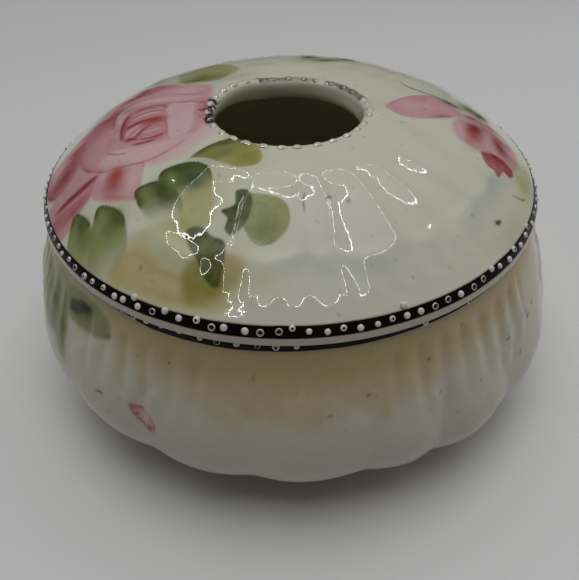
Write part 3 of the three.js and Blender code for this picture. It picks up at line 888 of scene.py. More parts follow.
def bisque_material():
    """Unglazed porcelain: matt and slightly gritty."""
    return glaze("bisque", roughness=0.75, lustre=0.5, fine_bump=0.3, tone=0.06)


# ---- Lid ----
LID_DOME = 0
LID_EDGE = 1
LID_UNDERSIDE = 2
LID_THROAT = 3


def flute_height(angle):
    """The height of the flutes over the shoulder. Each is a low arch, and the wider ones stand higher."""
    edges = FIRST_FLUTE_DEG + np.concatenate([[0], np.cumsum(FLUTE_WIDTHS_DEG)])
    turned = (angle - FIRST_FLUTE_DEG) % 120 + FIRST_FLUTE_DEG
    index = np.clip(np.searchsorted(edges, turned, side="right") - 1, 0, len(edges) - 2)
    width = edges[index + 1] - edges[index]
    across = 2 * (turned - edges[index]) / width - 1
    eased = np.arcsin(0.97 * np.sin(across * math.pi / 2)) * 2 / math.pi
    return FLUTE_RISE * width * (1 - eased**2)


def lid_relief(angle, radius, height, part):
    """Moulded flutes that end in a scalloped step on the shoulder, and the unevenness of a hand-made lid.

    The mould left the flutes crisp in front and faint elsewhere.
    """
    places = on_circle(angle, radius, height)
    crisp = 0.22 + 0.78 * window(angle, *CRISP_FLUTES_DEG, 10)
    wander = angle + 2.0 * cloud(places, 10, 33)
    ridge = flute_height(wander)
    end = FLUTES_END_RADIUS + 2.2 * ridge + 0.8 * cloud(places, 12, 34)
    start = FLUTES_START_RADIUS + 1.2 * cloud(places, 14, 36)
    long_flutes = ridge * smooth(start - 1.5, start + 3, radius)
    long_flutes *= 1 - smooth(end - 1.6, end + 1.6, radius)
    short_flutes = 0.07 * np.cos(np.radians(wander * 60)) * window(radius, *SHORT_FLUTES, 1.6)
    uneven = 0.12 * cloud(places, 10, 31) + 0.05 * cloud(places, 4.2, 32) + 0.008 * cloud(places, 1.8, 35)
    uneven *= smooth(19.5, 24, radius) * (1 - smooth(51.0, 53.4, radius))
    return np.where(part == LID_DOME, crisp * (long_flutes + short_flutes) + uneven, 0)


def mouth_form(angle, radius, height, part):
    """How far out and up each place moves round the mouth.

    The lip stands above the dome, which runs up to it. The hole below the lip is off centre, and its edge
    is thinner at the back left.
    """
    reach = 27 + 17 * window(angle, -40, 50, 30)
    dome = (LIP_RISE + lip_lift(angle)) * (1 - smooth(18.9, reach, radius))
    below = np.where(part == LID_THROAT, 1 - smooth(59.6, 63.4, height), 1 - smooth(18.0, 24.0, radius))
    below = below * (part != LID_DOME) * (part != LID_EDGE)
    thinner = THROAT_THINNER * window(angle % 360, *THROAT_THINNER_DEG, 40) * below
    throat = lip_lift(angle) * smooth(60.5, 63.6, height) * (part == LID_THROAT) + thinner
    out = (THROAT_WORN - THROAT_OFF_CENTRE * np.sin(np.radians(angle))) * below
    return np.stack([out, np.where(part == LID_DOME, dome, throat)], 1)


def pooled_glaze_and_shade(angle, places):
    """How thickly the glaze pooled between the flutes and below their step: partly glaze, partly painted
    shade.
    """
    radius = np.hypot(places[:, 0], places[:, 1])
    crisp = window(angle, -34, 62, 12)
    wander = angle + 2.0 * cloud(places, 10, 33)
    hollow = 1 - flute_height(wander) / 0.7
    between = np.clip(hollow, 0, 1) ** 2 * window(radius, 30, 42, 6)
    end = 43.6 + 2.2 * flute_height(wander) + 0.8 * cloud(places, 12, 34)
    below = smooth(end - 0.3, end + 0.7, radius) * (1 - smooth(end + 1.6, end + 5.2, radius))
    below *= np.clip(0.75 + 1.0 * cloud(places, 7.0, 37), 0, 1)
    return np.clip(crisp * (0.22 * between + 0.6 * below), 0, 1)


def mouth_lip():
    """The lid's outline over its rounded mouth edge, from the throat to the start of the dome."""
    edge = bezier((MOUTH_RADIUS, 61.3), (MOUTH_RADIUS, 63.2), (16.2, 64.2), (17.3, 64.3), 20)
    return np.vstack([edge, [(18.2, 64.24)]])


def lip_lift(angle):
    """How far the mouth's lip stands above its drawn height. It dips at the back right."""
    return LIP_LIFT - LIP_DIP * window(angle % 360, *LIP_DIP_DEG, 40)


def make_lid():
    """The lid. Its dome has the most rings and columns, because the painting is stored in its vertices."""
    dome = bezier(DOME_START, (40, 63.9), (45.5, 58.7), LID_BAND_HIGH, 200)
    band_low = np.array(LID_BAND_LOW) - (0.07, 0.04)
    edge = rounded([
        (*(np.array(LID_BAND_HIGH) - (0.05, 0.1)), 0), (*band_low, 0.25), (55.12, 49.7, 0.3),
        (55.12, LID_SEAT_Z, 0.55), (FLANGE_OUTER_RADIUS, LID_SEAT_Z, 0.35),
        (FLANGE_OUTER_RADIUS, FLANGE_BOTTOM_Z, 0.7), (FLANGE_INNER_RADIUS, FLANGE_BOTTOM_Z, 0.7),
        (FLANGE_INNER_RADIUS, 48.6, 0),
    ])
    inside = np.vstack([
        bezier((FLANGE_INNER_RADIUS, 49.0), (46.8, 55.0), (38, 59.4), (26, 60), 60),
        bezier((26, 60), (23, 60.05), (20.6, 59.9), (18.6, 59.3), 20)[1:],
    ])
    throat = np.vstack([
        bezier((18.0, 59.15), (16.6, 59.1), (16.05, 59.6), (MOUTH_RADIUS, 61.0), 20),
        mouth_lip(),
    ])
    lid, places, angle, part = spin("lid_porcelain", [
        (spaced(dome, 0.36), 960),
        (spaced(edge, 0.42), 480),
        (spaced(inside, 1.2), 240),
        (spaced(throat, 0.35), 480),
    ], lid_relief, mouth_form)
    outside = (part == LID_DOME) | (part == LID_THROAT)
    canvas = Canvas(places[:, 0], places[:, 1], IVORY)
    # Painted shade, partly pooled glaze: grey-blue in the flute hollows and below their step, where the
    # relief is shaded
    canvas.lay(np.arange(len(places)), POOLED_GLAZE_AND_SHADE, pooled_glaze_and_shade(angle, places))
    for layer in (
        paint_lid_washes, paint_rose_ground, paint_rose_back_petals, paint_rose_side_petals,
        paint_rose_heart, paint_rose_lower_petal, paint_rose_outer_petals, paint_mouth_leaf,
        paint_double_leaf, paint_leaf_pair, paint_middle_leaf, paint_rim_leaf, paint_right_rose,
        paint_right_rose_foot, paint_back_flowers, paint_lid_marks,
    ):
        layer(canvas)
    colours = canvas.colour
    colours[~outside] = linear(LIP_IVORY)
    colours[part == LID_UNDERSIDE] = linear(INSIDE_GLAZE)
    # Painted light: the mouth's inner wall is painted lighter than the lid, fully so below the lip,
    # standing in for light in the shaded hole
    throat_painted_light = (part == LID_THROAT) * (1 - smooth(62.2, 63.6, places[:, 2] - lip_lift(angle)))
    colours = colours * (1 - throat_painted_light[:, None]) + linear(THROAT_PAINTED_LIGHT) * throat_painted_light[:, None]
    colours = gild(colours, places)
    set_paint(lid, colours)
    lid.data.materials.append(glaze("lid_glaze"))
    lid.data.materials.append(bisque_material())
    seat = window(places[:, 2], FLANGE_BOTTOM_Z - 0.1, LID_SEAT_Z + 0.1, 0.01)
    unglazed = seat * (part == LID_EDGE) > 0.5
    mark_faces(lid, unglazed, 1)
    return lid


def gild(colours, places):
    """Adds what is left of the gilding round the mouth: nearly black at the left, mauve-brown elsewhere."""
    radius = np.hypot(places[:, 0], places[:, 1])
    angle = np.degrees(np.arctan2(places[:, 0], -places[:, 1]))
    top = window(radius, 16.3, 18.4, 0.4) * smooth(63.2, 63.9, places[:, 2])
    left = window(angle, -104, -70, 6)
    right = window(angle, 112, 146, 9)
    back = window(np.abs(angle), 160, 180, 8) * window(radius, 16.6, 19.2, 0.4)
    coarse = cloud(places, 2.4, 42)
    fine = cloud(places, 0.9, 41)
    kept = 0.7 * right + 0.62 * back + 0.35 * left + 0.25 * coarse + 0.2 * fine - 0.1
    mauve = top * smooth(0.1, 0.6, kept)
    dark = top * left * smooth(-0.2, 0.05, fine + 0.4 * coarse)
    for tint, share in [(GILDING_WORN, 0.8 * mauve), (GILDING_DARK, 0.95 * dark)]:
        colours = colours * (1 - share[:, None]) + linear(tint) * share[:, None]
    return colours


def mark_faces(piece, marked, material_index):
    """Gives a second material to the faces whose vertices are all marked."""
    for polygon in piece.data.polygons:
        if all(marked[v] for v in polygon.vertices):
            polygon.material_index = material_index


# ---- Bowl ----
def lobe_place(angle):
    """How far across its lobe each angle lies, from 0 to 1, and the depth of the nearer crease."""
    edges = np.cumsum((FIRST_LOBE_DEG, *(LOBE_WIDTHS_DEG * LOBE_REPEATS)))
    depths = np.array(CREASE_DEPTHS * LOBE_REPEATS)
    turned = (angle - FIRST_LOBE_DEG) % 360 + FIRST_LOBE_DEG
    index = np.clip(np.searchsorted(edges, turned, side="right") - 1, 0, len(edges) - 2)
    across = (turned - edges[index]) / (edges[index + 1] - edges[index])
    return across, np.where(across < 0.5, depths[index], depths[(index + 1) % len(depths)])


BOWL_UNDERSIDE = 0
BOWL_FLANK = 1
BOWL_RIM = 2
BOWL_INSIDE = 3


def bowl_relief(angle, radius, height, part):
    """Petal-shaped lobes, upright flutes over part of each third, and a slumped place at the right."""
    places = on_circle(angle, radius, height)
    across, depth = lobe_place(angle)
    side = np.abs(2 * across - 1)
    crease = 0.5 * side**LOBE_ROUNDNESS + 0.5 * np.sin(side * math.pi / 2) ** 3.2
    lobes = -depth * crease * smooth(3, 9, height) * (1 - smooth(26, 38, height))
    there = repeat_third(angle)
    petal_top = PETAL_TOP - 6.5 * side**2
    above = smooth(petal_top - 1.2, petal_top + 1.2, height)
    step = -0.26 * above * (1 - smooth(40.5, 44.5, height))
    wander = there + 1.2 * cloud(places, 12, 53)
    flute = 1 - np.abs(np.sin(wander * math.pi / 5.2)) ** 3
    left, right = (window(there, *flutes_deg, 4) for flutes_deg in BOWL_FLUTES_DEG)
    fan = np.maximum(0.9 * left, right)
    flutes = 0.65 * fan * (flute - 0.6) * smooth(petal_top - 9, petal_top, height)
    flutes *= 1 - smooth(41.5, 44.6, height)
    slump = SLUMP_DEPTH * window(angle, *SLUMP_DEG, 26)
    slump *= smooth(3, 9, height) * (1 - smooth(16, 31, height))
    uneven = 0.14 * cloud(places, 13, 51) + 0.07 * cloud(places, 6, 52)
    uneven *= smooth(2, 8, height) * (1 - smooth(42, 44.6, height))
    outside = lobes + step + flutes + slump + uneven
    return np.where(part == BOWL_FLANK, outside, np.where(part == BOWL_INSIDE, -0.5 * lobes, 0))


def make_bowl():
    """The bowl, from the middle of its underside, up over the rim and down to the middle of its floor."""
    underside = rounded([
        (0, FOOT_RECESS_HEIGHT, 0), (FOOT_INNER_RADIUS - 0.6, FOOT_RECESS_HEIGHT, 0.5),
        (FOOT_INNER_RADIUS, 0, 0.5), (FOOT_OUTER_RADIUS, 0, 0.5), (FOOT_OUTER_RADIUS + 0.5, 0.6, 0),
    ])
    flank = np.vstack([
        bezier((FOOT_OUTER_RADIUS + 0.8, 0.8), (42.5, 2.9), (61.2, 7.6), BELLY, 100),
        bezier(BELLY, (63, 28), (58.4, 36.5), BOWL_BAND_LOW, 100)[1:],
    ])
    rim = rounded([
        (*(np.array(BOWL_BAND_LOW) - (0.07, -0.2)), 0), (*(np.array(BOWL_BAND_HIGH) - (0.07, 0.0)), 0.3),
        (BOWL_BAND_HIGH[0] - 0.1, BOWL_RIM_TOP, 0.5), (BOWL_MOUTH_RADIUS, BOWL_RIM_TOP, 0.5),
        (BOWL_MOUTH_RADIUS, 45.2, 0),
    ])
    inside = np.vstack([
        bezier((BOWL_MOUTH_RADIUS, 44.8), (55.6, 36), (59.8, 28), BELLY_INSIDE, 50),
        bezier(BELLY_INSIDE, (57.4, 10.5), (47, BOWL_FLOOR_TOP), (34, BOWL_FLOOR_TOP), 50)[1:],
        [(0, BOWL_FLOOR_TOP)],
    ])
    bowl, places, angle, part = spin("bowl_porcelain", [
        (spaced(underside, 1.0), 216),
        (spaced(flank, 0.6), 864),
        (spaced(rim, 0.4), 432),
        (spaced(inside, 1.3), 216),
    ], bowl_relief, closed=False)
    colours = paint_bowl(angle, places[:, 2])
    colours[part == BOWL_INSIDE] = linear(INSIDE_GLAZE)
    colours[part == BOWL_RIM] = linear(LIP_IVORY)
    colours[part == BOWL_UNDERSIDE] = linear(BISQUE)
    set_paint(bowl, colours)
    bowl.data.materials.append(glaze("bowl_glaze", lustre=0.3))
    bowl.data.materials.append(bisque_material())
    unglazed = (part == BOWL_UNDERSIDE) & (np.hypot(places[:, 0], places[:, 1]) > FOOT_INNER_RADIUS - 0.7)
    unglazed |= (part == BOWL_RIM) & (places[:, 2] > BOWL_RIM_TOP - 0.25)
    mark_faces(bowl, unglazed, 1)
    return bowl


CHART_RADIUS = 58.0


def on_bowl(angle_deg, height):
    """A place on the bowl's chart, which is its flank unrolled: arc length across and height up."""
    return (math.radians(angle_deg) * CHART_RADIUS, height)


def on_flank(places):
    """A line on the bowl's chart from its angles and heights."""
    return [on_bowl(angle_deg, height) for angle_deg, height in places]


def paint_bowl(angle, height):
    """Ochre under the rim, painted shade in grey round the lower belly, and a spray and a small flower
    three times round, with specks all over.
    """
    chance = np.random.default_rng(61)
    canvas = Canvas(np.radians(angle) * CHART_RADIUS, height, BOWL_WHITE)
    for k in range(36):
        where = on_bowl(-180 + 10 * k + chance.uniform(-2, 2), 44.5)
        canvas.glow(OCHRE, where, (9, 3.0 + 1.5 * chance.random()), 0, 0.4)
        # Painted shade: grey patches round the lower belly, below its widest part
        where = on_bowl(-180 + 10 * k + chance.uniform(-4, 4), 17)
        canvas.glow(BOWL_PAINTED_SHADE, where, (9, 7 + 3 * chance.random()), 0, 0.35)
    for third in (0, 120, -120):
        turn_chart(canvas, angle, third)
        paint_bowl_ochre(canvas)
    for turn in (0, 168, -112):
        turn_chart(canvas, angle, turn)
        paint_bowl_leaves(canvas)
        paint_bowl_flower(canvas)
    turn_chart(canvas, angle, 0)
    paint_bowl_marks(canvas, chance)
    return canvas.colour


def turn_chart(canvas, angle, turn_deg):
    """Turns the bowl's chart, so that what is painted next lies further round."""
    canvas.at[:, 0] = np.radians((angle - turn_deg + 180) % 360 - 180) * CHART_RADIUS


def paint_bowl_ochre(c):
    """Ochre under the rim. Its lower edge follows the petals in front, and it streaks over the flutes."""
    c.wash(OCHRE, on_flank([
        (-37, 46.5), (-36, 41), (-30, 39.4), (-22, 38), (-17, 34.6), (-12, 31.8), (-8, 32.6), (-4, 33),
        (0, 32.6), (3.5, 31.4), (6.5, 33.4), (10, 34.8), (13.5, 34), (16.5, 31.8), (19, 34.6), (24, 35.6),
        (32, 38), (42, 40), (55, 42), (58, 46.5),
    ]), soft=5.5, strength=0.64, grain=0.3)
    for k in range(9):
        c.glow(OCHRE_DEEP, on_bowl(-24 + 6 * k, 43), (7, 4.2), 0, 0.3)
    for angle, low in [
        (-34.5, 31), (-29.5, 31), (-24, 32), (23.5, 33.5), (27, 34), (31.4, 34), (35.6, 35), (39.8, 34.5),
        (44.4, 34), (49.4, 34.5), (53.6, 35),
    ]:
        c.stroke(OCHRE, on_flank([
            (angle, 44.5), (angle + 0.5, (44 + low) / 2), (angle + 1, low),
        ]), 2.6, 0.5, 2.4, 0.5)
    c.glow(OCHRE_DEEP, on_bowl(47, 42.6), (7, 1.6), -6, 0.2)
    # Thin pale edges where the glaze drew back from the tops of the petals
    for left, middle, right, top in [
        (-13.5, -5.5, 2, 37.2), (3.4, 10, 16.2, 39.2), (17, 20.2, 23.4, 39),
    ]:
        c.stroke(LIP_IVORY, on_flank([
            (left, top - 3.4), ((left + middle) / 2, top - 0.7), (middle, top),
            ((middle + right) / 2, top - 0.6), (right, top - 3.4),
        ]), 0.5, 0.45, 0.7)


def paint_bowl_leaves(c):
    """The leaf and the broad green strokes that hang from the bowl's rim."""
    c.wash(LEAF_LIGHT, on_flank([
        (-53, 44.2), (-46, 45.4), (-40.5, 44.6), (-37.6, 42.4), (-38.2, 39.8), (-43, 38.8), (-48, 38),
        (-52.5, 38.6),
    ]), soft=1, strength=0.85)
    c.glow(LEAF_MID, on_bowl(-48.2, 41), (4.4, 2.2), 0, 0.9)
    c.wash(LEAF_DEEP, on_flank([
        (-52.6, 41.6), (-50.4, 42.4), (-47, 43.8), (-44, 43.4), (-46.4, 41.6), (-49.4, 39.8),
        (-51.8, 39.6),
    ]), soft=0.9, strength=0.95)
    c.glow(LEAF_DEEP, on_bowl(-45.2, 42.6), (2.4, 1.2), 20, 0.8)
    c.glow(LEAF_DEEP, on_bowl(-50, 41.2), (1.8, 1), 20, 0.9)
    c.glow(LEAF_DARK, on_bowl(-38.6, 40.2), (1, 0.6), 30, 0.6)
    # Broad upright strokes that run together below the rim
    c.wash(LEAF_LIGHT, on_flank([
        (-68, 43), (-60, 45), (-53.5, 44.6), (-51.8, 38), (-52, 27.4), (-54.6, 27.4), (-57, 30.6),
        (-61, 29.6), (-65.4, 31.6), (-67, 37),
    ]), soft=1.6, strength=0.8)
    for angle, top, bottom, width in [
        (-53.6, 43, 28, 2), (-58.6, 44.5, 30, 3.6), (-64, 44, 31, 3.2), (-69.5, 43.5, 34, 2.4),
        (-76, 43, 36, 2.2),
    ]:
        middle = (top + bottom) / 2
        c.stroke(LEAF_MID, on_flank([
            (angle - 1, top), (angle, middle), (angle + 0.6, bottom),
        ]), width, 0.9, 1.8)
        c.stroke(LEAF_DARK, on_flank([
            (angle - 1.2, top - 1), (angle - 0.6, middle + 1), (angle, middle - 4),
        ]), width * 0.4, 0.45, 1.2)
    c.glow(LEAF_MID, on_bowl(-60, 33), (4, 3), 0, 0.5)
    c.stroke(LEAF_PALE, on_flank([(-56.4, 43.4), (-56, 37), (-55.4, 31)]), 0.7, 0.6, 0.7)


def paint_bowl_flower(c):
    """A small pale flower with a broken dark outline, and two dashes beside it."""
    c.wash(ROSE_LIGHT, on_flank([
        (-31.8, 29.6), (-30, 29.8), (-27.6, 28.8), (-26.2, 26.6), (-26.4, 24.4), (-28.2, 24.8),
        (-30.2, 26.4), (-31.4, 28),
    ]), soft=0.6, strength=0.75)
    c.glow(ROSE_PALE, on_bowl(-28.8, 27.4), (1.2, 1), -30, 0.8)
    c.stroke(ROSE_DEEP, on_flank([
        (-31.8, 29.6), (-30.9, 27.8), (-29, 26), (-26.8, 24.4),
    ]), 0.6, 0.9, 0.5)
    c.stroke(ROSE_DEEP, on_flank([(-31.2, 29.7), (-29.6, 29.5), (-28.2, 28.8)]), 0.45, 0.85, 0.4)
    c.stroke(ROSE_DEEP, on_flank([(-27.4, 28.6), (-26.4, 27), (-26.3, 25.2)]), 0.45, 0.8, 0.4)
    c.glow(ROSE_CORE, on_bowl(-31, 29.2), (0.9, 0.4), -20, 0.9)
    c.glow(ROSE_CORE, on_bowl(-27.2, 25.6), (0.7, 0.7), 0, 0.85)
    c.glow(ROSE_BROWN, on_bowl(-30, 27.9), (0.45, 0.35), 0, 0.9)
    c.stroke(MAUVE, on_flank([(-40.2, 27.8), (-39.2, 28.4), (-37.8, 28.4)]), 0.6, 0.85, 0.4)
    c.stroke(MAUVE, on_flank([(-34.2, 29.6), (-33.4, 29.2)]), 0.4, 0.6, 0.4)


def paint_bowl_marks(c, chance):
    """Specks fired into the glaze."""
    for angle, height, size in [
        (13, 36.7, 0.4), (14.5, 36.5, 0.22), (6, 34, 0.3), (-7.5, 41, 0.3), (31, 26.4, 0.3),
        (46.6, 34, 0.5), (54.3, 35.3, 0.5), (55.4, 33.8, 0.6), (58.4, 34.7, 0.45), (51, 27.6, 0.45),
        (27.4, 32.2, 0.25), (36.6, 31, 0.3), (34, 43.2, 0.35), (25.6, 40, 0.35), (-23.8, 40.6, 0.25),
        (63, 15.4, 0.4),
    ]:
        c.glow(SPECK, on_bowl(angle, height), (size, size * 0.9), 0, 0.9)
    for _ in range(200):
        where = (chance.uniform(-182, 182), chance.uniform(8, 45))
        size = chance.uniform(0.14, 0.26)
        c.glow(SPECK, where, (size, size), 0, chance.uniform(0.2, 0.5))


# ---- Enamel rim bands and their raised dots ----
def across_band(low, high):
    """A band's lower edge, its direction up over the porcelain, its direction outward, and its width."""
    low, high = np.array(low), np.array(high)
    along = (high - low) / np.linalg.norm(high - low)
    return low, along, np.array([along[1], -along[0]]), np.linalg.norm(high - low)


def bowl_band_lift(angle):
    """How far the bowl band's lower edge was painted above its drawn place, round the jar."""
    turns = (-180, -150, -120, -90, -60, -40, -34, -27, -12, 6, 20, 45, 60, 90, 130, 160, 180)
    lifts = (0.2, 0.35, 0.1, 0.5, 0.85, 0.9, 0.5, -0.2, -0.25, 0.0, 0.25, 0.45, 0.7, 0.4, 0.1, 0.3, 0.2)
    return np.interp(angle, turns, lifts)


def make_band(name, low, high, seed, lift=None):
    """A thin painted band of black enamel, with the slightly wavy edges of a hand-held brush."""
    low, along, out, length = across_band(low, high)
    corner = [(0.0, -BAND_SUNK), (0.0, -0.05), (0.05, BAND_PROUD * 0.7), (0.12, BAND_PROUD)]
    section = corner + [(length * t, BAND_PROUD) for t in (0.25, 0.5, 0.75)]
    section += [(length - inset, up) for inset, up in reversed(corner)]
    columns = 720
    angle = np.arange(columns) * 360 / columns - 180
    circle = on_circle(angle, 20, 0 * angle)
    top_wave = 0.07 * cloud(circle, 2.4, seed) + 0.05 * cloud(circle, 0.9, seed + 1)
    low_wave = 0.05 * cloud(circle, 2.0, seed + 2) + (0 if lift is None else lift(angle))
    rings = []
    for s, up in section:
        share = s / length
        slide = low_wave * (1 - share) + top_wave * share
        at = low[None, :] + along[None, :] * (s + slide)[:, None] + out[None, :] * up
        rings.append(on_circle(angle, at[:, 0], at[:, 1]))
    places = np.vstack(rings)
    faces = []
    for i in range(len(rings)):
        faces += ring_faces(i * columns, columns, (i + 1) % len(rings) * columns, columns)
    band = mesh_object(name, places, faces)
    thin = np.clip(0.5 + 0.5 * cloud(places, 1.6, seed + 3), 0, 1)[:, None]
    set_paint(band, linear(ENAMEL_BLACK) * (0.75 + 0.7 * thin))
    enamel = glaze(name + "_enamel", roughness=0.3, lustre=0.3, fine_bump=0.06, tone=0.1)
    band.data.materials.append(enamel)
    return band


# Some dots have a pinhole where a bubble burst, and some are broken open. For each kind: the shares of the
# dot's radius and height from its foot to its middle, how many rings are pale, and how common the kind is
DOT_KINDS = {
    "whole": ([(0.95, 0.42), (0.76, 0.78), (0.42, 0.97), (0, 1)], 6, 0.56),
    "pinhole": ([(0.95, 0.45), (0.74, 0.8), (0.46, 0.92), (0.34, 0.7), (0.28, 0.2), (0, 0.12)], 5, 0.22),
    "broken": ([(0.96, 0.4), (0.84, 0.55), (0.7, 0.36), (0.55, 0.16), (0.25, 0.08), (0, 0.08)], 4, 0.22),
}
DOT_SIDES = 18


def make_dots(name, low, high, count, share_up, seed, strays=(), worn=()):
    """Raised white enamel dots, dabbed on by hand, at the given share of the way up the band.

    Strays are angles and places up the band. Most dots in the worn ranges of angles have come off.
    """
    chance = np.random.default_rng(seed)
    low, along, out, length = across_band(low, high)
    places, faces, colours = [], [], []
    spots = []
    for k in range(count):
        angle = (k + chance.uniform(-0.16, 0.16)) * 360 / count - 180
        if any(start < angle < end for start, end in worn) and chance.random() < 0.7:
            continue
        share = share_up + chance.uniform(-0.12, 0.12)
        spots.append((angle, length * (share + 0.3 * (chance.random() < 0.12))))
    spots += list(strays)
    for angle, up in spots:
        kind = chance.choice(list(DOT_KINDS), p=[common for _, _, common in DOT_KINDS.values()])
        shares, pale_rings, _ = DOT_KINDS[kind]
        radius = DOT_RADIUS * chance.uniform(0.85, 1.08)
        height = DOT_HEIGHT * chance.uniform(0.85, 1.1)
        profile = [(radius, -0.2), (radius, 0)] + [(radius * r, height * h) for r, h in shares]
        turn = math.radians(angle)
        radial = np.array([math.sin(turn), -math.cos(turn), 0.0])
        rise = np.array([0.0, 0.0, 1.0])
        sideways = np.array([math.cos(turn), math.sin(turn), 0.0])
        at = low + along * up
        centre = radial * at[0] + rise * at[1]
        upward = radial * along[0] + rise * along[1]
        outward = radial * out[0] + rise * out[1]
        skew = chance.uniform(-0.12, 0.12, 2)
        start = sum(len(p) for p in places)
        ring_at = []
        for r, h in profile:
            n = 1 if r == 0 else DOT_SIDES
            a = np.arange(n) * 2 * math.pi / n
            lean = max(h, 0)
            ring = centre + np.outer(r * np.cos(a) + skew[0] * lean, sideways)
            ring_at.append((start, n))
            places.append(ring + np.outer(r * np.sin(a) + skew[1] * lean, upward) + outward * h)
            start += n
        faces += stacked_faces(ring_at)
        pale = linear(DOT_WHITE) * chance.uniform(0.88, 1.0)
        hollow = linear(ENAMEL_BLACK) * 1.6
        if kind == "broken":
            hollow = linear(DOT_BROKEN) * chance.uniform(0.35, 0.9)
        for row, (_, n) in enumerate(ring_at):
            colours.append(np.tile(pale if row < pale_rings else hollow, (n, 1)))
    dots = mesh_object(name, np.vstack(places), faces)
    set_paint(dots, np.vstack(colours))
    dots.data.materials.append(glaze(name + "_enamel", roughness=0.28, fine_bump=0.04, tone=0.04))
    return dots


# ---- Beads round the mouth ----
def make_mouth_beads():
    """Low glazed beads in a ring on the mouth's edge. Each is a dome that follows the curve of the lip."""
    chance = np.random.default_rng(71)
    lip = spaced(mouth_lip(), 0.05)
    along = np.gradient(lip, axis=0)
    normal = np.stack([-along[:, 1], along[:, 0]], 1) / np.linalg.norm(along, axis=1)[:, None]
    travel = np.concatenate([[0], np.cumsum(np.hypot(*np.diff(lip, axis=0).T))])
    middle = np.interp(MOUTH_BEAD_RING_RADIUS - 0.25, lip[:, 0], travel)
    sides = 20
    around = np.arange(sides) * 2 * math.pi / sides
    share = np.array([1.0, 1.0, 0.97, 0.88, 0.72, 0.5, 0.26, 0.0])
    places, faces = [], []
    start = 0
    for k in range(MOUTH_BEADS):
        turn = math.radians((k + chance.uniform(-0.1, 0.1)) * 360 / MOUTH_BEADS - 180)
        radius = MOUTH_BEAD_RADIUS * chance.uniform(0.82, 1.0)
        tall = MOUTH_BEAD_HEIGHT * chance.uniform(0.75, 1.1)
        heights = np.concatenate([[-0.3], tall * (1 - share[1:] ** 2) ** 0.8])
        starts = []
        for part, height in zip(share, heights):
            n = 1 if part == 0 else sides
            over = middle + radius * part * np.sin(around[:n])
            aside = turn + 1.12 * radius * part * np.cos(around[:n]) / MOUTH_BEAD_RING_RADIUS
            out, up = (
                np.interp(over, travel, lip[:, i]) + height * np.interp(over, travel, normal[:, i])
                for i in range(2)
            )
            up = up + lip_lift(np.degrees(aside))
            places.append(np.stack([out * np.sin(aside), -out * np.cos(aside), up], 1))
            starts.append((start, n))
            start += n
        faces += stacked_faces(starts)
    places = np.vstack(places)
    beads = mesh_object("mouth_beads", places, faces)
    set_paint(beads, gild(np.tile(linear(IVORY), (len(places), 1)), places))
    beads.data.materials.append(glaze("bead_glaze", lustre=2.0, fine_bump=0.0, ior=1.8))
    return beads


# ---- Stage: floor, lights and camera ----
def make_floor():
    """A wide sheet of matt white paper."""
    mesh = bpy.data.meshes.new("floor")
    half = 3.0
    corners = [(-half, -half, 0), (half, -half, 0), (half, half, 0), (-half, half, 0)]
    mesh.from_pydata(corners, [], [[0, 1, 2, 3]])
    material = bpy.data.materials.new("floor_paper")
    material.use_nodes = True
    shader = material.node_tree.nodes["Principled BSDF"]
    shader.inputs["Base Color"].default_value = (0.77, 0.77, 0.77, 1)
    shader.inputs["Roughness"].default_value = 0.8
    shader.inputs["Specular IOR Level"].default_value = 0.2
    mesh.materials.append(material)
    add_object("floor", mesh)


def make_lamps():
    """The lamp strips, which are the frame between two rectangles, and the dim panel inside it."""
    places, faces = [], []
    for spread in (-LAMP_STRIP_WIDTH / 2, LAMP_STRIP_WIDTH / 2):
        for x, y in [(-1, 0), (1, 0), (1, 1), (-1, 1)]:
            edge = LAMP_BACK_Y if y else LAMP_FRONT_Y
            places.append((x * (LAMP_HALF_WIDTH + spread), edge + (spread if y else -spread), LAMP_HEIGHT))
    for k in range(4):
        faces.append([k, (k + 1) % 4, 4 + (k + 1) % 4, 4 + k])
    faces.append([0, 1, 2, 3])
    mesh = bpy.data.meshes.new("lamps")
    mesh.from_pydata((np.array(places) * MM).tolist(), [], faces)
    lamps = add_object("lamps", mesh)
    for name, strength in [("lamp_strip_glow", LAMP_STRIP_GLOW), ("lamp_panel_glow", LAMP_PANEL_GLOW)]:
        material = bpy.data.materials.new(name)
        material.use_nodes = True
        nodes = material.node_tree.nodes
        nodes.remove(nodes["Principled BSDF"])
        glow = nodes.new("ShaderNodeEmission")
        glow.inputs["Strength"].default_value = strength
        material.node_tree.links.new(glow.outputs["Emission"], nodes["Material Output"].inputs["Surface"])
        mesh.materials.append(material)
    mesh.polygons[4].material_index = 1
    lamps.visible_camera = False
    lamps.visible_diffuse = False
    lamps.visible_shadow = False


def area_light(name, at, towards, size, power):
    """A soft lamp that reflections don't show. Its places and size are in metres."""
    data = bpy.data.lights.new(name, "AREA")
    data.shape = "RECTANGLE"
    data.size, data.size_y = size
    data.energy = power
    light = add_object(name, data)
    light.location = at
    light.rotation_euler = (Vector(towards) - Vector(at)).to_track_quat("-Z", "Y").to_euler()
    light.visible_glossy = False
    light.visible_camera = False


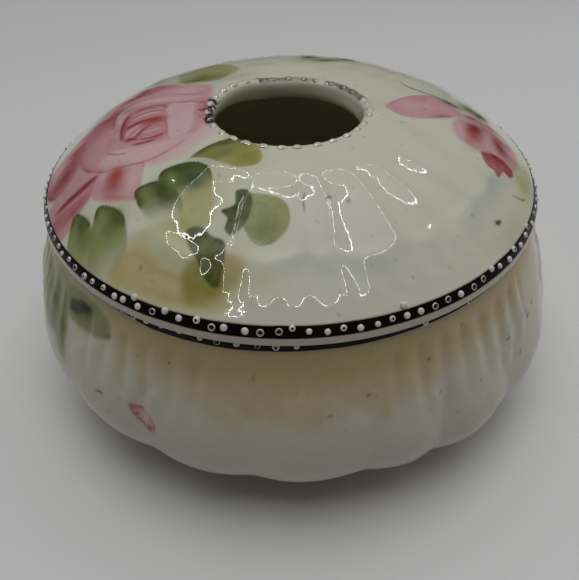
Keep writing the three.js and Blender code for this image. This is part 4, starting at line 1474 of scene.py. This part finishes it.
def make_lights():
    """A ceiling that gives nearly all the light, two dim walls and a trace of light from all round."""
    area_light("ceiling", (0, 0.04, 0.9), (0, 0, 0), (0.84, 0.84), 5.1)
    for name, side, power in [("left_wall", -0.5, 0.14), ("right_wall", 0.5, 0.34)]:
        area_light(name, (side, 0.1, 0.25), (0, 0, 0.03), (0.5, 0.4), power)
    world = bpy.data.worlds.new("room")
    bpy.context.scene.world = world
    world.use_nodes = True
    background = world.node_tree.nodes["Background"]
    background.inputs["Color"].default_value = (1, 1, 1, 1)
    background.inputs["Strength"].default_value = 0.005


def make_camera():
    """A close view from above the front."""
    data = bpy.data.cameras.new("camera")
    data.sensor_fit = "HORIZONTAL"
    data.sensor_width = SENSOR_WIDTH
    data.lens = CAMERA_LENS
    data.clip_start = 0.005
    camera = add_object("camera", data)
    pitch = math.radians(CAMERA_PITCH_DEG)
    tilt = Matrix.Rotation(math.pi / 2 - pitch, 4, "X")
    roll = Matrix.Rotation(math.radians(CAMERA_ROLL_DEG), 4, "Z")
    camera.matrix_world = Matrix.Translation(Vector(CAMERA_AT) * MM) @ tilt @ roll
    bpy.context.scene.camera = camera


make_camera()
make_floor()
make_lamps()
make_lights()
bpy.context.scene.view_settings.view_transform = "Standard"

bowl_band = (BOWL_BAND_LOW, BOWL_BAND_HIGH)
lid_band = (LID_BAND_LOW, LID_BAND_HIGH)
bowl_enamel = make_band("bowl_rim_enamel", *bowl_band, 91, bowl_band_lift)
bowl_dots = make_dots("bowl_rim_dots", *bowl_band, BOWL_BAND_DOTS, 0.9, 92, worn=WORN_DOTS_DEG)
lid_enamel = make_band("lid_rim_enamel", *lid_band, 95)
lid_dots = make_dots("lid_rim_dots", *lid_band, LID_BAND_DOTS, 0.5, 96, strays=STRAY_DOTS)

pieces = [
    (make_bowl(), "bowl_body", "bowl", "bowl_porcelain"),
    (bowl_enamel, "bowl_body", "bowl_rim_band", "rim_enamel"),
    (bowl_dots, "bowl_body", "bowl_rim_band", "rim_enamel"),
    (make_lid(), "lid_body", "lid", "lid_porcelain"),
    (lid_enamel, "lid_body", "lid_rim_band", "rim_enamel"),
    (lid_dots, "lid_body", "lid_rim_band", "rim_enamel"),
    (make_mouth_beads(), "lid_body", "mouth_bead_ring", "bead_glaze"),
]
for piece, body, node, slot in pieces:
    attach(piece, body)
    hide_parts(node)
